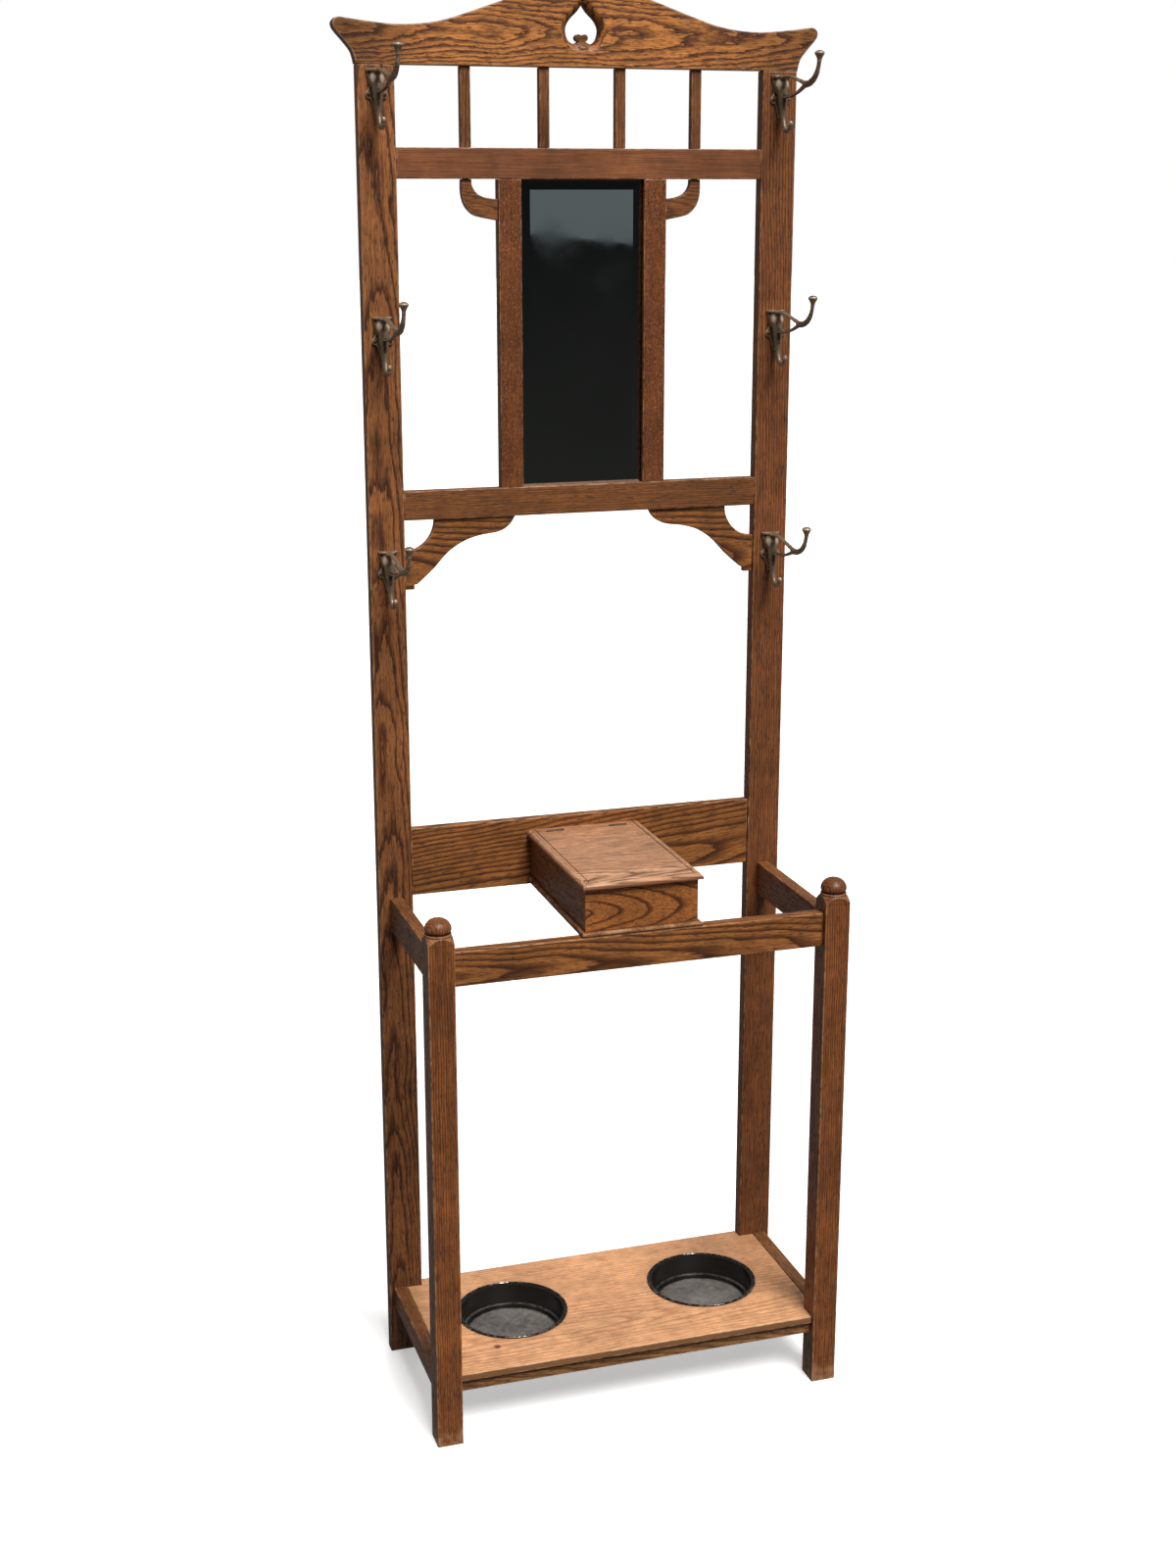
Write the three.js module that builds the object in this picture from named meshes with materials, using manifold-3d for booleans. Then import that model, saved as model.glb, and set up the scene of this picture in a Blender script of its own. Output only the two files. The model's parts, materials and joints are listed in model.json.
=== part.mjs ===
// Hall tree: two back posts with hooks and a mirror, an umbrella stand below, a glove box between.
// Millimetres, +Z up, the front faces -Y, the origin is the middle of the footprint on the floor.
import * as THREE from 'three'
import { mergeVertices } from 'three/addons/utils/BufferGeometryUtils.js'
import Module from 'manifold-3d'

const wasm = await Module()
wasm.setup()

// ---- overall sizes
const HEIGHT = 1980 // floor to the peak of the crest
const BACK_WIDTH = 620 // over the two back posts
const DEPTH = 297 // wall face of the posts to the front face of the legs
const LEG_HEIGHT = 784 // floor to the top of the turned buttons
const GAP = 0.3 // clearance on every side of a joint

// ---- back frame
const POST_WIDTH = 50
const POST_THICK = 20
const CREST_HEIGHT = 106 // bottom edge to peak
const CREST_OVERHANG = 30 // each horn past its post
const RAIL_THICK = 18
const RAIL_SET_BACK = 1 // rail faces lie this far behind the post faces
const RAIL_HIGH = 40
const SLAT_HEIGHT = 104
const MIRROR_HEIGHT = 415 // sight height of the glass
const PANEL_HIGH = 100
const PANEL_THICK = 14
const SLAT_WIDTH = 14
const SLAT_THICK = 12
const SLAT_TENON = 8
const INNER_SLAT_X = 54
const OUTER_SLAT_X = 163.5
const BRACKET_THICK = 11

// ---- mirror
const STILE_IN = 88 // half the sight width of the glass
const STILE_WIDTH = 32
const REBATE = 6
const LIP = 7 // wood in front of the glass
const GLASS_THICK = 4
const BACKBOARD_THICK = 4
const BEVEL_WIDE = 20
const BEVEL_DEEP = 2.4

// ---- umbrella stand
const LEG = 37
const LEG_INSET = 5 // outer faces of the legs inside those of the posts
const FRONT_RAIL_HIGH = 49
const FRONT_RAIL_THICK = 19
const FRONT_RAIL_SET_BACK = 9
const SIDE_RAIL_THICK = 18
const SIDE_RAIL_INSET = 11 // from the leg's outer face
const LOW_RAIL_Z = 75.5
const LOW_RAIL_HIGH = 18.5
const LOW_RAIL_THICK = 15
const LOW_RAIL_SET_BACK = 13
const LOW_SIDE_HIGH = 31
const LOW_SIDE_THICK = 20
const LOW_SIDE_INSET = 2
const SHELF_THICK = 11
const SHELF_SET_BACK = 6
const PAN_SPACING = 301
const PAN_BEHIND_MIDDLE = 8
const PAN_RIM = 83
const PAN_WALL = 78
const PAN_DEEP = 35
const PAN_SHEET = 1.4

// ---- glove box
const BOX_HALF = 81.5
const BOX_FRONT_SET_BACK = 15 // box front behind the leg faces
const BOX_HIGH = 77
const LID_THICK = 8.2
const LID_OVERHANG = 5.5
const BOARD = 9
const BASE_THICK = 6.5
const STRIP_DEEP = 16
const HINGE_X = 48
const HINGE_LONG = 26
const KNUCKLE = 2.2
const LEAF = 1

// ---- hooks
const HOOK_REACH = 133
const LUG = { x: 10.8, z: -14 }
const SCREW_SHANK = 1.6
const SCREW_LONG = 12

// ---- values that follow from the sizes above
const WALL_Y = DEPTH / 2
const FACE_Y = WALL_Y - POST_THICK
const FRONT_Y = -DEPTH / 2
const MID_Y = FACE_Y + POST_THICK / 2
const POST_OUT = BACK_WIDTH / 2
const POST_IN = POST_OUT - POST_WIDTH
const POST_X = (POST_OUT + POST_IN) / 2
const CREST_Z = HEIGHT - CREST_HEIGHT
const LEG_OUT = POST_OUT - LEG_INSET
const LEG_IN = LEG_OUT - LEG
const LEG_X = (LEG_OUT + LEG_IN) / 2
const LEG_BACK_Y = FRONT_Y + LEG
const RAIL_Y0 = FACE_Y + RAIL_SET_BACK
const RAIL_Y1 = RAIL_Y0 + RAIL_THICK
const STILE_OUT = STILE_IN + STILE_WIDTH
const GLASS_Y = RAIL_Y0 + LIP
const PANEL_Y = [MID_Y - PANEL_THICK / 2, MID_Y + PANEL_THICK / 2]

const below = (z1, high) => ({ z0: z1 - high, z1 })
const UPPER_RAIL = below(CREST_Z - SLAT_HEIGHT, RAIL_HIGH)
const MID_RAIL = below(UPPER_RAIL.z0 - MIRROR_HEIGHT, RAIL_HIGH)
const BACK_PANEL = below(LEG_HEIGHT + 46, PANEL_HIGH)
const FRONT_RAIL = below(LEG_HEIGHT - 48, FRONT_RAIL_HIGH)
const SIDE_RAIL = {
  ...below(LEG_HEIGHT - 54, FRONT_RAIL_HIGH),
  x0: LEG_OUT - SIDE_RAIL_INSET - SIDE_RAIL_THICK,
  x1: LEG_OUT - SIDE_RAIL_INSET,
}
const LOW_RAIL = below(LOW_RAIL_Z + LOW_RAIL_HIGH, LOW_RAIL_HIGH)
const LOW_SIDE = {
  ...below(LOW_RAIL_Z + LOW_SIDE_HIGH, LOW_SIDE_HIGH),
  x0: LEG_OUT - LOW_SIDE_INSET - LOW_SIDE_THICK,
  x1: LEG_OUT - LOW_SIDE_INSET,
}
const SLAT_X = [-OUTER_SLAT_X, -INNER_SLAT_X, INNER_SLAT_X, OUTER_SLAT_X]
const SHELF_Z = LOW_RAIL.z1 + GAP
const SHELF_TOP = SHELF_Z + SHELF_THICK
const PAN_X = PAN_SPACING / 2
const BASE_Z = FRONT_RAIL.z1 + GAP
const BOX_Z = BASE_Z + BASE_THICK + GAP
const BOX_TOP = FRONT_RAIL.z1 + BOX_HIGH
const LID_Z = BOX_TOP - LID_THICK
const BOX_Z1 = LID_Z - GAP
const BOX_FRONT_Y = FRONT_Y + BOX_FRONT_SET_BACK
const BOX_BACK_Y = PANEL_Y[0] - GAP
const SEAM_Y = BOX_BACK_Y - STRIP_DEEP
const LOW_HOOK_Z = MID_RAIL.z0 - 58
const TOP_HOOK_Z = CREST_Z - 24
const HOOK_Z = [LOW_HOOK_Z, (LOW_HOOK_Z + TOP_HOOK_Z) / 2, TOP_HOOK_Z]

// ---- solids from three.js shapes
// A closed geometry as a solid, turned the right way out.
function solid(geometry) {
  const bare = geometry.index ? geometry.toNonIndexed() : geometry.clone()
  for (const extra of ['normal', 'uv']) bare.deleteAttribute(extra)
  const merged = mergeVertices(bare, 1e-4)
  const make = (triVerts) =>
    new wasm.Manifold(
      new wasm.Mesh({ numProp: 3, vertProperties: merged.attributes.position.array, triVerts }),
    )
  const faces = new Uint32Array(merged.index.array)
  const made = make(faces)
  return made.volume() < 0 ? make(faces.reverse()) : made
}

// Boxes are [x0, x1, y0, y1, z0, z1].
function block([x0, x1, y0, y1, z0, z1]) {
  const box = new THREE.BoxGeometry(x1 - x0, y1 - y0, z1 - z0)
  return solid(box.translate((x0 + x1) / 2, (y0 + y1) / 2, (z0 + z1) / 2))
}

const grown = ([x0, x1, y0, y1, z0, z1], by = GAP) => [x0 - by, x1 + by, y0 - by, y1 + by, z0 - by, z1 + by]
const across = ([x0, x1, ...rest]) => [-x1, -x0, ...rest]
const mirrored = (made) => made.mirror([1, 0, 0])
const joined = (first, ...others) => others.reduce((sum, other) => sum.add(other), first)
const cut = (first, ...others) => others.reduce((rest, other) => rest.subtract(other), first)
const mortises = (tenons) => tenons.map((tenon) => block(grown(tenon)))

const shapeOf = (points) => new THREE.Shape(points.map(([a, b]) => new THREE.Vector2(a, b)))
const flat = { bevelEnabled: false, curveSegments: 8 }

// A shape drawn in X and Z, given thickness from y0 to y1.
function prismY(shape, y0, y1) {
  const made = new THREE.ExtrudeGeometry(shape, { depth: y1 - y0, ...flat })
  return solid(made.rotateX(Math.PI / 2).translate(0, y1, 0))
}

// A shape drawn in X and Y, given height from z0 to z1.
function prismZ(shape, z0, z1) {
  return solid(new THREE.ExtrudeGeometry(shape, { depth: z1 - z0, ...flat }).translate(0, 0, z0))
}

function cylinder(radius, length, axis, [x, y, z], sides = 24) {
  const made = new THREE.CylinderGeometry(radius, radius, length, sides)
  if (axis === 'x') made.rotateZ(Math.PI / 2)
  if (axis === 'z') made.rotateX(Math.PI / 2)
  return solid(made.translate(x, y, z))
}

// A profile of [radius, height] turned about +Z.
function turned(profile, sides, [x, y, z]) {
  const points = profile.map(([r, h]) => new THREE.Vector2(r, h))
  const made = new THREE.LatheGeometry(points, sides).rotateX(Math.PI / 2)
  return solid(made.translate(x, y, z))
}

// A smooth line through [x, z] points.
function curve(points, steps) {
  const line = new THREE.SplineCurve(points.map(([a, b]) => new THREE.Vector2(a, b)))
  return line.getPoints(steps).map((p) => [p.x, p.y])
}

// A round rod along a path that lies in the plane x = 0, drawn as [y, z].
function rod(path, radius, steps, sides = 7) {
  const line = new THREE.CatmullRomCurve3(path.map(([y, z]) => new THREE.Vector3(0, y, z)))
  const ring = Array.from({ length: sides }, (_, i) => {
    const turn = (2 * Math.PI * i) / sides
    return [radius * Math.cos(turn), radius * Math.sin(turn)]
  })
  return solid(new THREE.ExtrudeGeometry(shapeOf(ring), { steps, extrudePath: line, ...flat }))
}

const ball = (radius, [x, y, z], scale = [1, 1, 1], sides = 10) =>
  solid(new THREE.SphereGeometry(radius, sides, sides - 4).scale(...scale).translate(x, y, z))

// ---- meshes
const root = new THREE.Group()
root.name = 'hall_tree'

const OAK = 0x7a4a2e
const LIGHT_OAK = 0xb5824f
const BRONZE = 0x5c4a3e
const BRASS = 0x8a6a3c
const TIN = 0x1c1c1e
const GLASS = 0x9aa4a8
const PLY = 0x6b4a30

function piece(name, made, color, metalness = 0) {
  const { vertProperties, triVerts } = made.getMesh()
  const geometry = new THREE.BufferGeometry()
  geometry.setAttribute('position', new THREE.BufferAttribute(new Float32Array(vertProperties), 3))
  geometry.setIndex(new THREE.BufferAttribute(new Uint32Array(triVerts), 1))
  const split = geometry.toNonIndexed()
  split.computeVertexNormals()
  const roughness = metalness > 0 ? 0.4 : 0.65
  const mesh = new THREE.Mesh(split, new THREE.MeshStandardMaterial({ color, metalness, roughness }))
  mesh.name = name
  root.add(mesh)
}

function pair(name, made, color, metalness) {
  piece(`${name}_right`, made, color, metalness)
  piece(`${name}_left`, mirrored(made), color, metalness)
}

// ---- tenons, all for the right-hand side; the left side is their mirror image
const slim = (middle, thick) => [middle - thick / 2, middle + thick / 2]

function endTenon({ z0, z1 }, middleY, thick, long, shoulder) {
  return [POST_IN - 1, POST_IN + long, ...slim(middleY, thick), z0 + shoulder, z1 - shoulder]
}

const RAIL_MID_Y = (RAIL_Y0 + RAIL_Y1) / 2
const upperTenon = endTenon(UPPER_RAIL, RAIL_MID_Y, 7, 25, 6)
const midTenon = endTenon(MID_RAIL, RAIL_MID_Y, 7, 25, 6)
const panelTenon = endTenon(BACK_PANEL, MID_Y, 6, 20, 10)
const backRailTenon = endTenon(LOW_RAIL, MID_Y, 6, 18, 3)
const postTenon = [...slim(POST_X, 30), ...slim(MID_Y, 8), CREST_Z - 1, CREST_Z + 18]

const SIDE_X = (SIDE_RAIL.x0 + SIDE_RAIL.x1) / 2
const LOW_X = (LOW_SIDE.x0 + LOW_SIDE.x1) / 2
const sideSpan = (rail, shoulder) => [rail.z0 + shoulder, rail.z1 - shoulder]
const sideBackTenon = [...slim(SIDE_X, 8), FACE_Y - 1, FACE_Y + 12, ...sideSpan(SIDE_RAIL, 8)]
const sideFrontTenon = [...slim(SIDE_X, 8), LEG_BACK_Y - 20, LEG_BACK_Y + 1, ...sideSpan(SIDE_RAIL, 8)]
const lowBackTenon = [...slim(LOW_X, 8), FACE_Y - 1, FACE_Y + 12, ...sideSpan(LOW_SIDE, 6)]
const lowFrontTenon = [...slim(LOW_X, 8), LEG_BACK_Y - 20, LEG_BACK_Y + 1, ...sideSpan(LOW_SIDE, 6)]

const behindFront = (setBack, thick) => [FRONT_Y + setBack, FRONT_Y + setBack + thick]
const FRONT_RAIL_Y = behindFront(FRONT_RAIL_SET_BACK, FRONT_RAIL_THICK)
const LOW_RAIL_Y = behindFront(LOW_RAIL_SET_BACK, LOW_RAIL_THICK)
const middle = ([y0, y1]) => (y0 + y1) / 2
const LEG_TENON = SIDE_RAIL.x0 - LEG_IN + 3
const LEG_TENON_X = [LEG_IN - 1, LEG_IN + LEG_TENON]
const frontTenon = [...LEG_TENON_X, ...slim(middle(FRONT_RAIL_Y), 8), ...sideSpan(FRONT_RAIL, 8)]
const lowRailTenon = [...LEG_TENON_X, ...slim(middle(LOW_RAIL_Y), 6), ...sideSpan(LOW_RAIL, 3)]

const STILE_TENON_X = [STILE_IN + REBATE + 5, STILE_OUT - 5]
const stileTopTenon = [...STILE_TENON_X, ...slim(RAIL_MID_Y, 7), UPPER_RAIL.z0 - 1, UPPER_RAIL.z0 + 12]
const stileLowTenon = [...STILE_TENON_X, ...slim(RAIL_MID_Y, 7), MID_RAIL.z1 - 12, MID_RAIL.z1 + 1]

const slatTopTenon = (x) => [...slim(x, 8), ...slim(MID_Y, 6), CREST_Z - 1, CREST_Z + SLAT_TENON]
const slatLowTenon = (x) => [...slim(x, 8), ...slim(MID_Y, 6), UPPER_RAIL.z1 - SLAT_TENON, UPPER_RAIL.z1 + 1]

const NECK_X = OUTER_SLAT_X
const neckTopTenon = [...slim(NECK_X, 8), ...slim(MID_Y, 5), UPPER_RAIL.z0 - 1, UPPER_RAIL.z0 + 7]
const neckStileTenon = [
  STILE_OUT - 7, STILE_OUT + 1, ...slim(MID_Y, 5), UPPER_RAIL.z0 - 48, UPPER_RAIL.z0 - 33,
]
const kneeRailTenon = [POST_IN - 110, POST_IN - 65, ...slim(MID_Y, 5), MID_RAIL.z0 - 1, MID_RAIL.z0 + 7]
const kneePostTenon = [POST_IN - 1, POST_IN + 7, ...slim(MID_Y, 5), MID_RAIL.z0 - 84, MID_RAIL.z0 - 54]

// The glass, its rebate and the board behind it share one pocket through the stiles and rails.
const glassPocket = [
  -(STILE_IN + REBATE), STILE_IN + REBATE,
  GLASS_Y, RAIL_Y1 + 1,
  MID_RAIL.z1 - REBATE, UPPER_RAIL.z0 + REBATE,
]

// ---- back frame
function backPost() {
  const body = block([POST_IN, POST_OUT, FACE_Y, WALL_Y, 0, CREST_Z - GAP])
  const pilots = HOOK_Z.flatMap((z) =>
    [-1, 1].map((side) => {
      const at = [POST_X + side * LUG.x, FACE_Y, z + LUG.z]
      return cylinder(SCREW_SHANK + GAP, 2 * (SCREW_LONG + GAP), 'y', at, 12)
    }),
  )
  const entering = [
    upperTenon, midTenon, panelTenon, backRailTenon, sideBackTenon, lowBackTenon, kneePostTenon,
  ]
  return cut(joined(body, block(postTenon)), ...mortises(entering), ...pilots)
}

// Half of the crest's outline from the peak to the bottom corner, as [x, z] above the crest's bottom edge.
function crestHalf() {
  const wide = POST_OUT + CREST_OVERHANG
  const high = CREST_HEIGHT
  const drops = [
    [0, 0], [0.088, 1.5], [0.182, 8], [0.294, 19.5], [0.424, 34.5], [0.544, 47.5], [0.632, 53.5],
    [0.726, 56], [0.824, 54.5], [0.974, 48.5],
  ]
  const top = curve(drops.map(([part, drop]) => [wide * part, high - drop]), 30)
  const sweep = [[14.5, 27.5], [6, 17], [2.6, 8], [1, 0]].map(([out, z]) => [POST_OUT + out, z])
  const tip = [[4.5, 49.4], [0.9, 53], [0, 58], [3.4, 65]].map(([back, drop]) => [wide - back, high - drop])
  const horn = curve([...tip, ...sweep], 22)
  return [...top, ...horn]
}

// An inverted heart: a point at the top, two round lobes at the bottom.
function heart(wide, top, bottom) {
  const half = curve(
    [
      [0, top], [wide * 0.3, top - (top - bottom) * 0.2], [wide * 0.78, top - (top - bottom) * 0.42],
      [wide, bottom + (top - bottom) * 0.36], [wide * 0.86, bottom + (top - bottom) * 0.1],
      [wide * 0.5, bottom], [wide * 0.16, bottom + (top - bottom) * 0.07],
    ],
    18,
  )
  const back = half.slice(1).reverse().map(([x, z]) => [-x, z])
  return [...half, ...back]
}

const HEART_TOP = CREST_Z + CREST_HEIGHT - 24
const HEART_LOW = CREST_Z + 30
const HEART_HALF = 24

function crestBoard() {
  const right = crestHalf()
  const left = right.slice(1).reverse().map(([x, z]) => [-x, z])
  const outline = [...right, ...left].map(([x, z]) => [x, z + CREST_Z])
  const board = prismY(shapeOf(outline), FACE_Y, WALL_Y)
  const opening = prismY(shapeOf(heart(HEART_HALF, HEART_TOP, HEART_LOW)), FACE_Y - 1, WALL_Y + 1)
  // The sloping border round the heart is a bevelled cutter set with its widest face on the front.
  const border = new THREE.ExtrudeGeometry(shapeOf(heart(HEART_HALF, HEART_TOP, HEART_LOW)), {
    depth: 4, bevelEnabled: true, bevelThickness: 7, bevelSize: 8, bevelSegments: 1, curveSegments: 12,
  })
  const sloped = solid(border.rotateX(Math.PI / 2).translate(0, FACE_Y, 0))
  const stalk = block([...slim(0, 7), FACE_Y + 9, WALL_Y - 1, HEART_LOW - 4, HEART_LOW + 7])
  const lobes = [-1, 1].map((side) =>
    cylinder(4.6, POST_THICK - 10, 'y', [side * 4.4, FACE_Y + 14, HEART_LOW + 8], 16),
  )
  const tenons = [postTenon, across(postTenon), ...SLAT_X.map(slatTopTenon)]
  return cut(joined(cut(board, opening, sloped), stalk, ...lobes), ...mortises(tenons))
}

function upperRail() {
  const body = block([-POST_IN + GAP, POST_IN - GAP, RAIL_Y0, RAIL_Y1, UPPER_RAIL.z0, UPPER_RAIL.z1])
  const entering = [...SLAT_X.map(slatLowTenon), stileTopTenon, neckTopTenon]
  const both = [...entering, across(stileTopTenon), across(neckTopTenon), glassPocket]
  return cut(joined(body, block(upperTenon), block(across(upperTenon))), ...mortises(both))
}

function midRail() {
  const body = block([-POST_IN + GAP, POST_IN - GAP, RAIL_Y0, RAIL_Y1, MID_RAIL.z0, MID_RAIL.z1])
  const entering = [stileLowTenon, kneeRailTenon]
  const both = [...entering, ...entering.map(across), glassPocket]
  return cut(joined(body, block(midTenon), block(across(midTenon))), ...mortises(both))
}

function plainRail(half, [y0, y1], { z0, z1 }, tenon) {
  return joined(block([-half + GAP, half - GAP, y0, y1, z0, z1]), block(tenon), block(across(tenon)))
}

function slat(x) {
  const z = [UPPER_RAIL.z1 + GAP, CREST_Z - GAP]
  const body = block([...slim(x, SLAT_WIDTH), ...slim(MID_Y, SLAT_THICK), ...z])
  return joined(body, block(slatTopTenon(x)), block(slatLowTenon(x)))
}

// A small curved bracket that carries an outer slat's line down and in to the mirror.
function swanNeck() {
  const z = UPPER_RAIL.z0 - GAP
  const outer = NECK_X + SLAT_WIDTH / 2
  const inner = NECK_X - SLAT_WIDTH / 2
  const x = STILE_OUT + GAP
  const low = curve(
    [
      [outer, z], [outer, z - 18], [outer - 4, z - 33],
      [outer - 12, z - 43], [outer - 22, z - 48.5], [x, z - 54],
    ],
    14,
  )
  const high = curve(
    [[x, z - 26], [x + 16, z - 24], [inner - 8, z - 19], [inner - 1, z - 9], [inner, z]],
    12,
  )
  const plate = prismY(shapeOf([...low, ...high]), ...slim(MID_Y, BRACKET_THICK))
  return joined(plate, block(neckTopTenon), block(neckStileTenon))
}

function kneeBracket() {
  const z = MID_RAIL.z0 - GAP
  const x = POST_IN - GAP
  const radius = 44
  const under = curve(
    [
      [x - 160, z], [x - 153, z - 11], [x - 142, z - 19], [x - 129, z - 22.5], [x - 107, z - 25.5],
      [x - 84, z - 33], [x - 62, z - 47], [x - 40, z - 70], [x - 17, z - 90],
    ],
    22,
  )
  const foot = [[x - 13, z - 90.5], [x - 13, z - 97], [x, z - 97]]
  const arc = Array.from({ length: 13 }, (_, i) => {
    const turn = ((Math.PI / 2) * i) / 12
    return [x - radius * Math.sin(turn), z - radius * Math.cos(turn)]
  })
  const plate = prismY(shapeOf([...under, ...foot, ...arc]), ...slim(MID_Y, BRACKET_THICK))
  return joined(plate, block(kneeRailTenon), block(kneePostTenon))
}

// ---- mirror
function mirrorStile() {
  const z = [MID_RAIL.z1 + GAP, UPPER_RAIL.z0 - GAP]
  const body = block([STILE_IN, STILE_OUT, RAIL_Y0, RAIL_Y1, ...z])
  const stile = joined(body, block(stileTopTenon), block(stileLowTenon))
  return cut(stile, ...mortises([glassPocket, neckStileTenon]))
}

function mirrorGlass() {
  const [x0, x1, , , z0, z1] = glassPocket
  const b = BEVEL_WIDE
  const inner = shapeOf([[x0 + b, z0 + b], [x1 - b, z0 + b], [x1 - b, z1 - b], [x0 + b, z1 - b]])
  const plate = new THREE.ExtrudeGeometry(inner, {
    depth: GLASS_THICK, bevelEnabled: true, bevelThickness: BEVEL_DEEP, bevelSize: b, bevelSegments: 1,
  })
  const back = GLASS_Y + GAP + BEVEL_DEEP + GLASS_THICK
  const bevelled = solid(plate.rotateX(Math.PI / 2).translate(0, back, 0))
  const keep = block([x0 - 1, x1 + 1, GLASS_Y, GLASS_Y + GAP + GLASS_THICK, z0 - 1, z1 + 1])
  return bevelled.intersect(keep)
}

function mirrorBackboard() {
  const [x0, x1, , , z0, z1] = glassPocket
  const y = GLASS_Y + GAP + GLASS_THICK + GAP
  return block([x0, x1, y, y + BACKBOARD_THICK, z0, z1])
}

// ---- umbrella stand
// The square leg turns round at the top: a sloping shoulder, a ring, a groove and a button.
function frontLeg() {
  const corner = LEG * 0.72
  const neck = LEG_HEIGHT
  const profile = [
    [0, 0], [corner + 6, 0], [corner + 6, neck - 43], [corner - 2.5, neck - 36],
    [corner - 5.5, neck - 31], [LEG * 0.525, neck - 28.5], [LEG * 0.515, neck - 26.5],
    [LEG * 0.43, neck - 25.5], [LEG * 0.43, neck - 23.5], [LEG * 0.475, neck - 21.5],
    [LEG * 0.487, neck - 17.5], [LEG * 0.465, neck - 11.5], [LEG * 0.385, neck - 5.5],
    [LEG * 0.25, neck - 1.6], [LEG * 0.11, neck - 0.3], [0, neck],
  ]
  const round = turned(profile, 28, [LEG_X, FRONT_Y + LEG / 2, 0])
  const square = block([LEG_IN, LEG_OUT, FRONT_Y, LEG_BACK_Y, 0, LEG_HEIGHT + 1])
  return cut(round.intersect(square), ...mortises([frontTenon, sideFrontTenon, lowRailTenon, lowFrontTenon]))
}

function sideRail(rail, frontEnd, backEnd) {
  const body = block([rail.x0, rail.x1, LEG_BACK_Y + GAP, FACE_Y - GAP, rail.z0, rail.z1])
  return joined(body, block(frontEnd), block(backEnd))
}

const PAN_Y = (FRONT_Y + SHELF_SET_BACK + WALL_Y) / 2 + PAN_BEHIND_MIDDLE

function shelfBoard() {
  const x = LOW_SIDE.x0 - GAP
  const between = [LEG_IN - GAP, POST_IN - GAP]
  const y = [FRONT_Y + SHELF_SET_BACK, LEG_BACK_Y + GAP, FACE_Y - GAP, WALL_Y - 2]
  const half = [
    [between[0], y[0]], [between[0], y[1]], [x, y[1]],
    [x, y[2]], [between[1], y[2]], [between[1], y[3]],
  ]
  const other = half.slice().reverse().map(([a, b]) => [-a, b])
  const board = prismZ(shapeOf([...half, ...other]), SHELF_Z, SHELF_TOP)
  const holes = [-1, 1].map((side) =>
    cylinder(PAN_WALL + 1, 40, 'z', [side * PAN_X, PAN_Y, SHELF_TOP], 32),
  )
  return cut(board, ...holes)
}

// A pressed tin pan with a rolled rim that hangs in its hole.
function dripPan() {
  const rim = PAN_RIM
  const wall = PAN_WALL
  const t = PAN_SHEET
  const profile = [
    [0, -PAN_DEEP], [wall - 9, -PAN_DEEP], [wall - 8, -PAN_DEEP + 5], [wall - 3, -PAN_DEEP + 6],
    [wall, GAP], [rim - 1, GAP], [rim, 1.5], [rim - 1, 2.8], [wall + 1, 3.2],
    [wall - t - 0.4, 2], [wall - 3 - t, -PAN_DEEP + 7.2], [wall - 8.6 - t, -PAN_DEEP + 6.2],
    [wall - 9.6 - t, -PAN_DEEP + t], [0, -PAN_DEEP + t],
  ]
  return turned(profile, 32, [PAN_X, PAN_Y, SHELF_TOP])
}

// ---- glove box
const TONGUE = 4
const SIDE_IN = BOX_HALF - BOARD

function boxBase() {
  const half = BOX_HALF + LID_OVERHANG
  return block([-half, half, BOX_FRONT_Y - 6, BOX_BACK_Y, BASE_Z, BASE_Z + BASE_THICK])
}

const sideTongue = [
  SIDE_IN + 3, BOX_HALF - 3, BOX_FRONT_Y + BOARD - TONGUE, BOX_FRONT_Y + BOARD + 1, BOX_Z, BOX_Z1,
]

function boxSide() {
  const body = block([SIDE_IN, BOX_HALF, BOX_FRONT_Y + BOARD + GAP, BOX_BACK_Y, BOX_Z, BOX_Z1])
  return joined(body, block(sideTongue))
}

function boxFront() {
  const body = block([-BOX_HALF, BOX_HALF, BOX_FRONT_Y, BOX_FRONT_Y + BOARD, BOX_Z, BOX_Z1])
  return cut(body, ...mortises([sideTongue, across(sideTongue)]))
}

function boxBack() {
  const x = SIDE_IN - GAP
  return block([-x, x, BOX_BACK_Y - BOARD, BOX_BACK_Y, BOX_Z, BOX_Z1])
}

// Leaves stand in the seam, one let into the strip and one into the lid; the knuckles lie on top.
const LEAF_Z = [BOX_TOP - 7.4, BOX_TOP - KNUCKLE - 0.4]
const leafBox = (x, side) => {
  const y = [SEAM_Y + side * 0.15, SEAM_Y + side * (0.15 + LEAF)].sort((a, b) => a - b)
  return [...slim(x, HINGE_LONG), ...y, ...LEAF_Z]
}

function hingeRoom(side) {
  return [-HINGE_X, HINGE_X].flatMap((x) => [
    block(grown(leafBox(x, side))),
    cylinder(KNUCKLE + GAP, HINGE_LONG + 2 * GAP, 'x', [x, SEAM_Y, BOX_TOP], 24),
    block([...slim(x, HINGE_LONG + 2 * GAP), ...slim(SEAM_Y, 2 * (LEAF + 0.15 + GAP)), LEAF_Z[1], BOX_TOP]),
  ])
}

function roundedBoard(y0, y1) {
  const half = BOX_HALF + LID_OVERHANG
  const r = 2.6
  const plan = shapeOf([[-half + r, y0 + r], [half - r, y0 + r], [half - r, y1 + 20], [-half + r, y1 + 20]])
  const board = new THREE.ExtrudeGeometry(plan, {
    depth: LID_THICK - 2 * r, bevelEnabled: true, bevelThickness: r, bevelSize: r, bevelSegments: 4,
  })
  const kept = block([-half - 1, half + 1, y0 - 1, y1, LID_Z - 1, BOX_TOP + 1])
  return solid(board.translate(0, 0, LID_Z + r)).intersect(kept)
}

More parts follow.
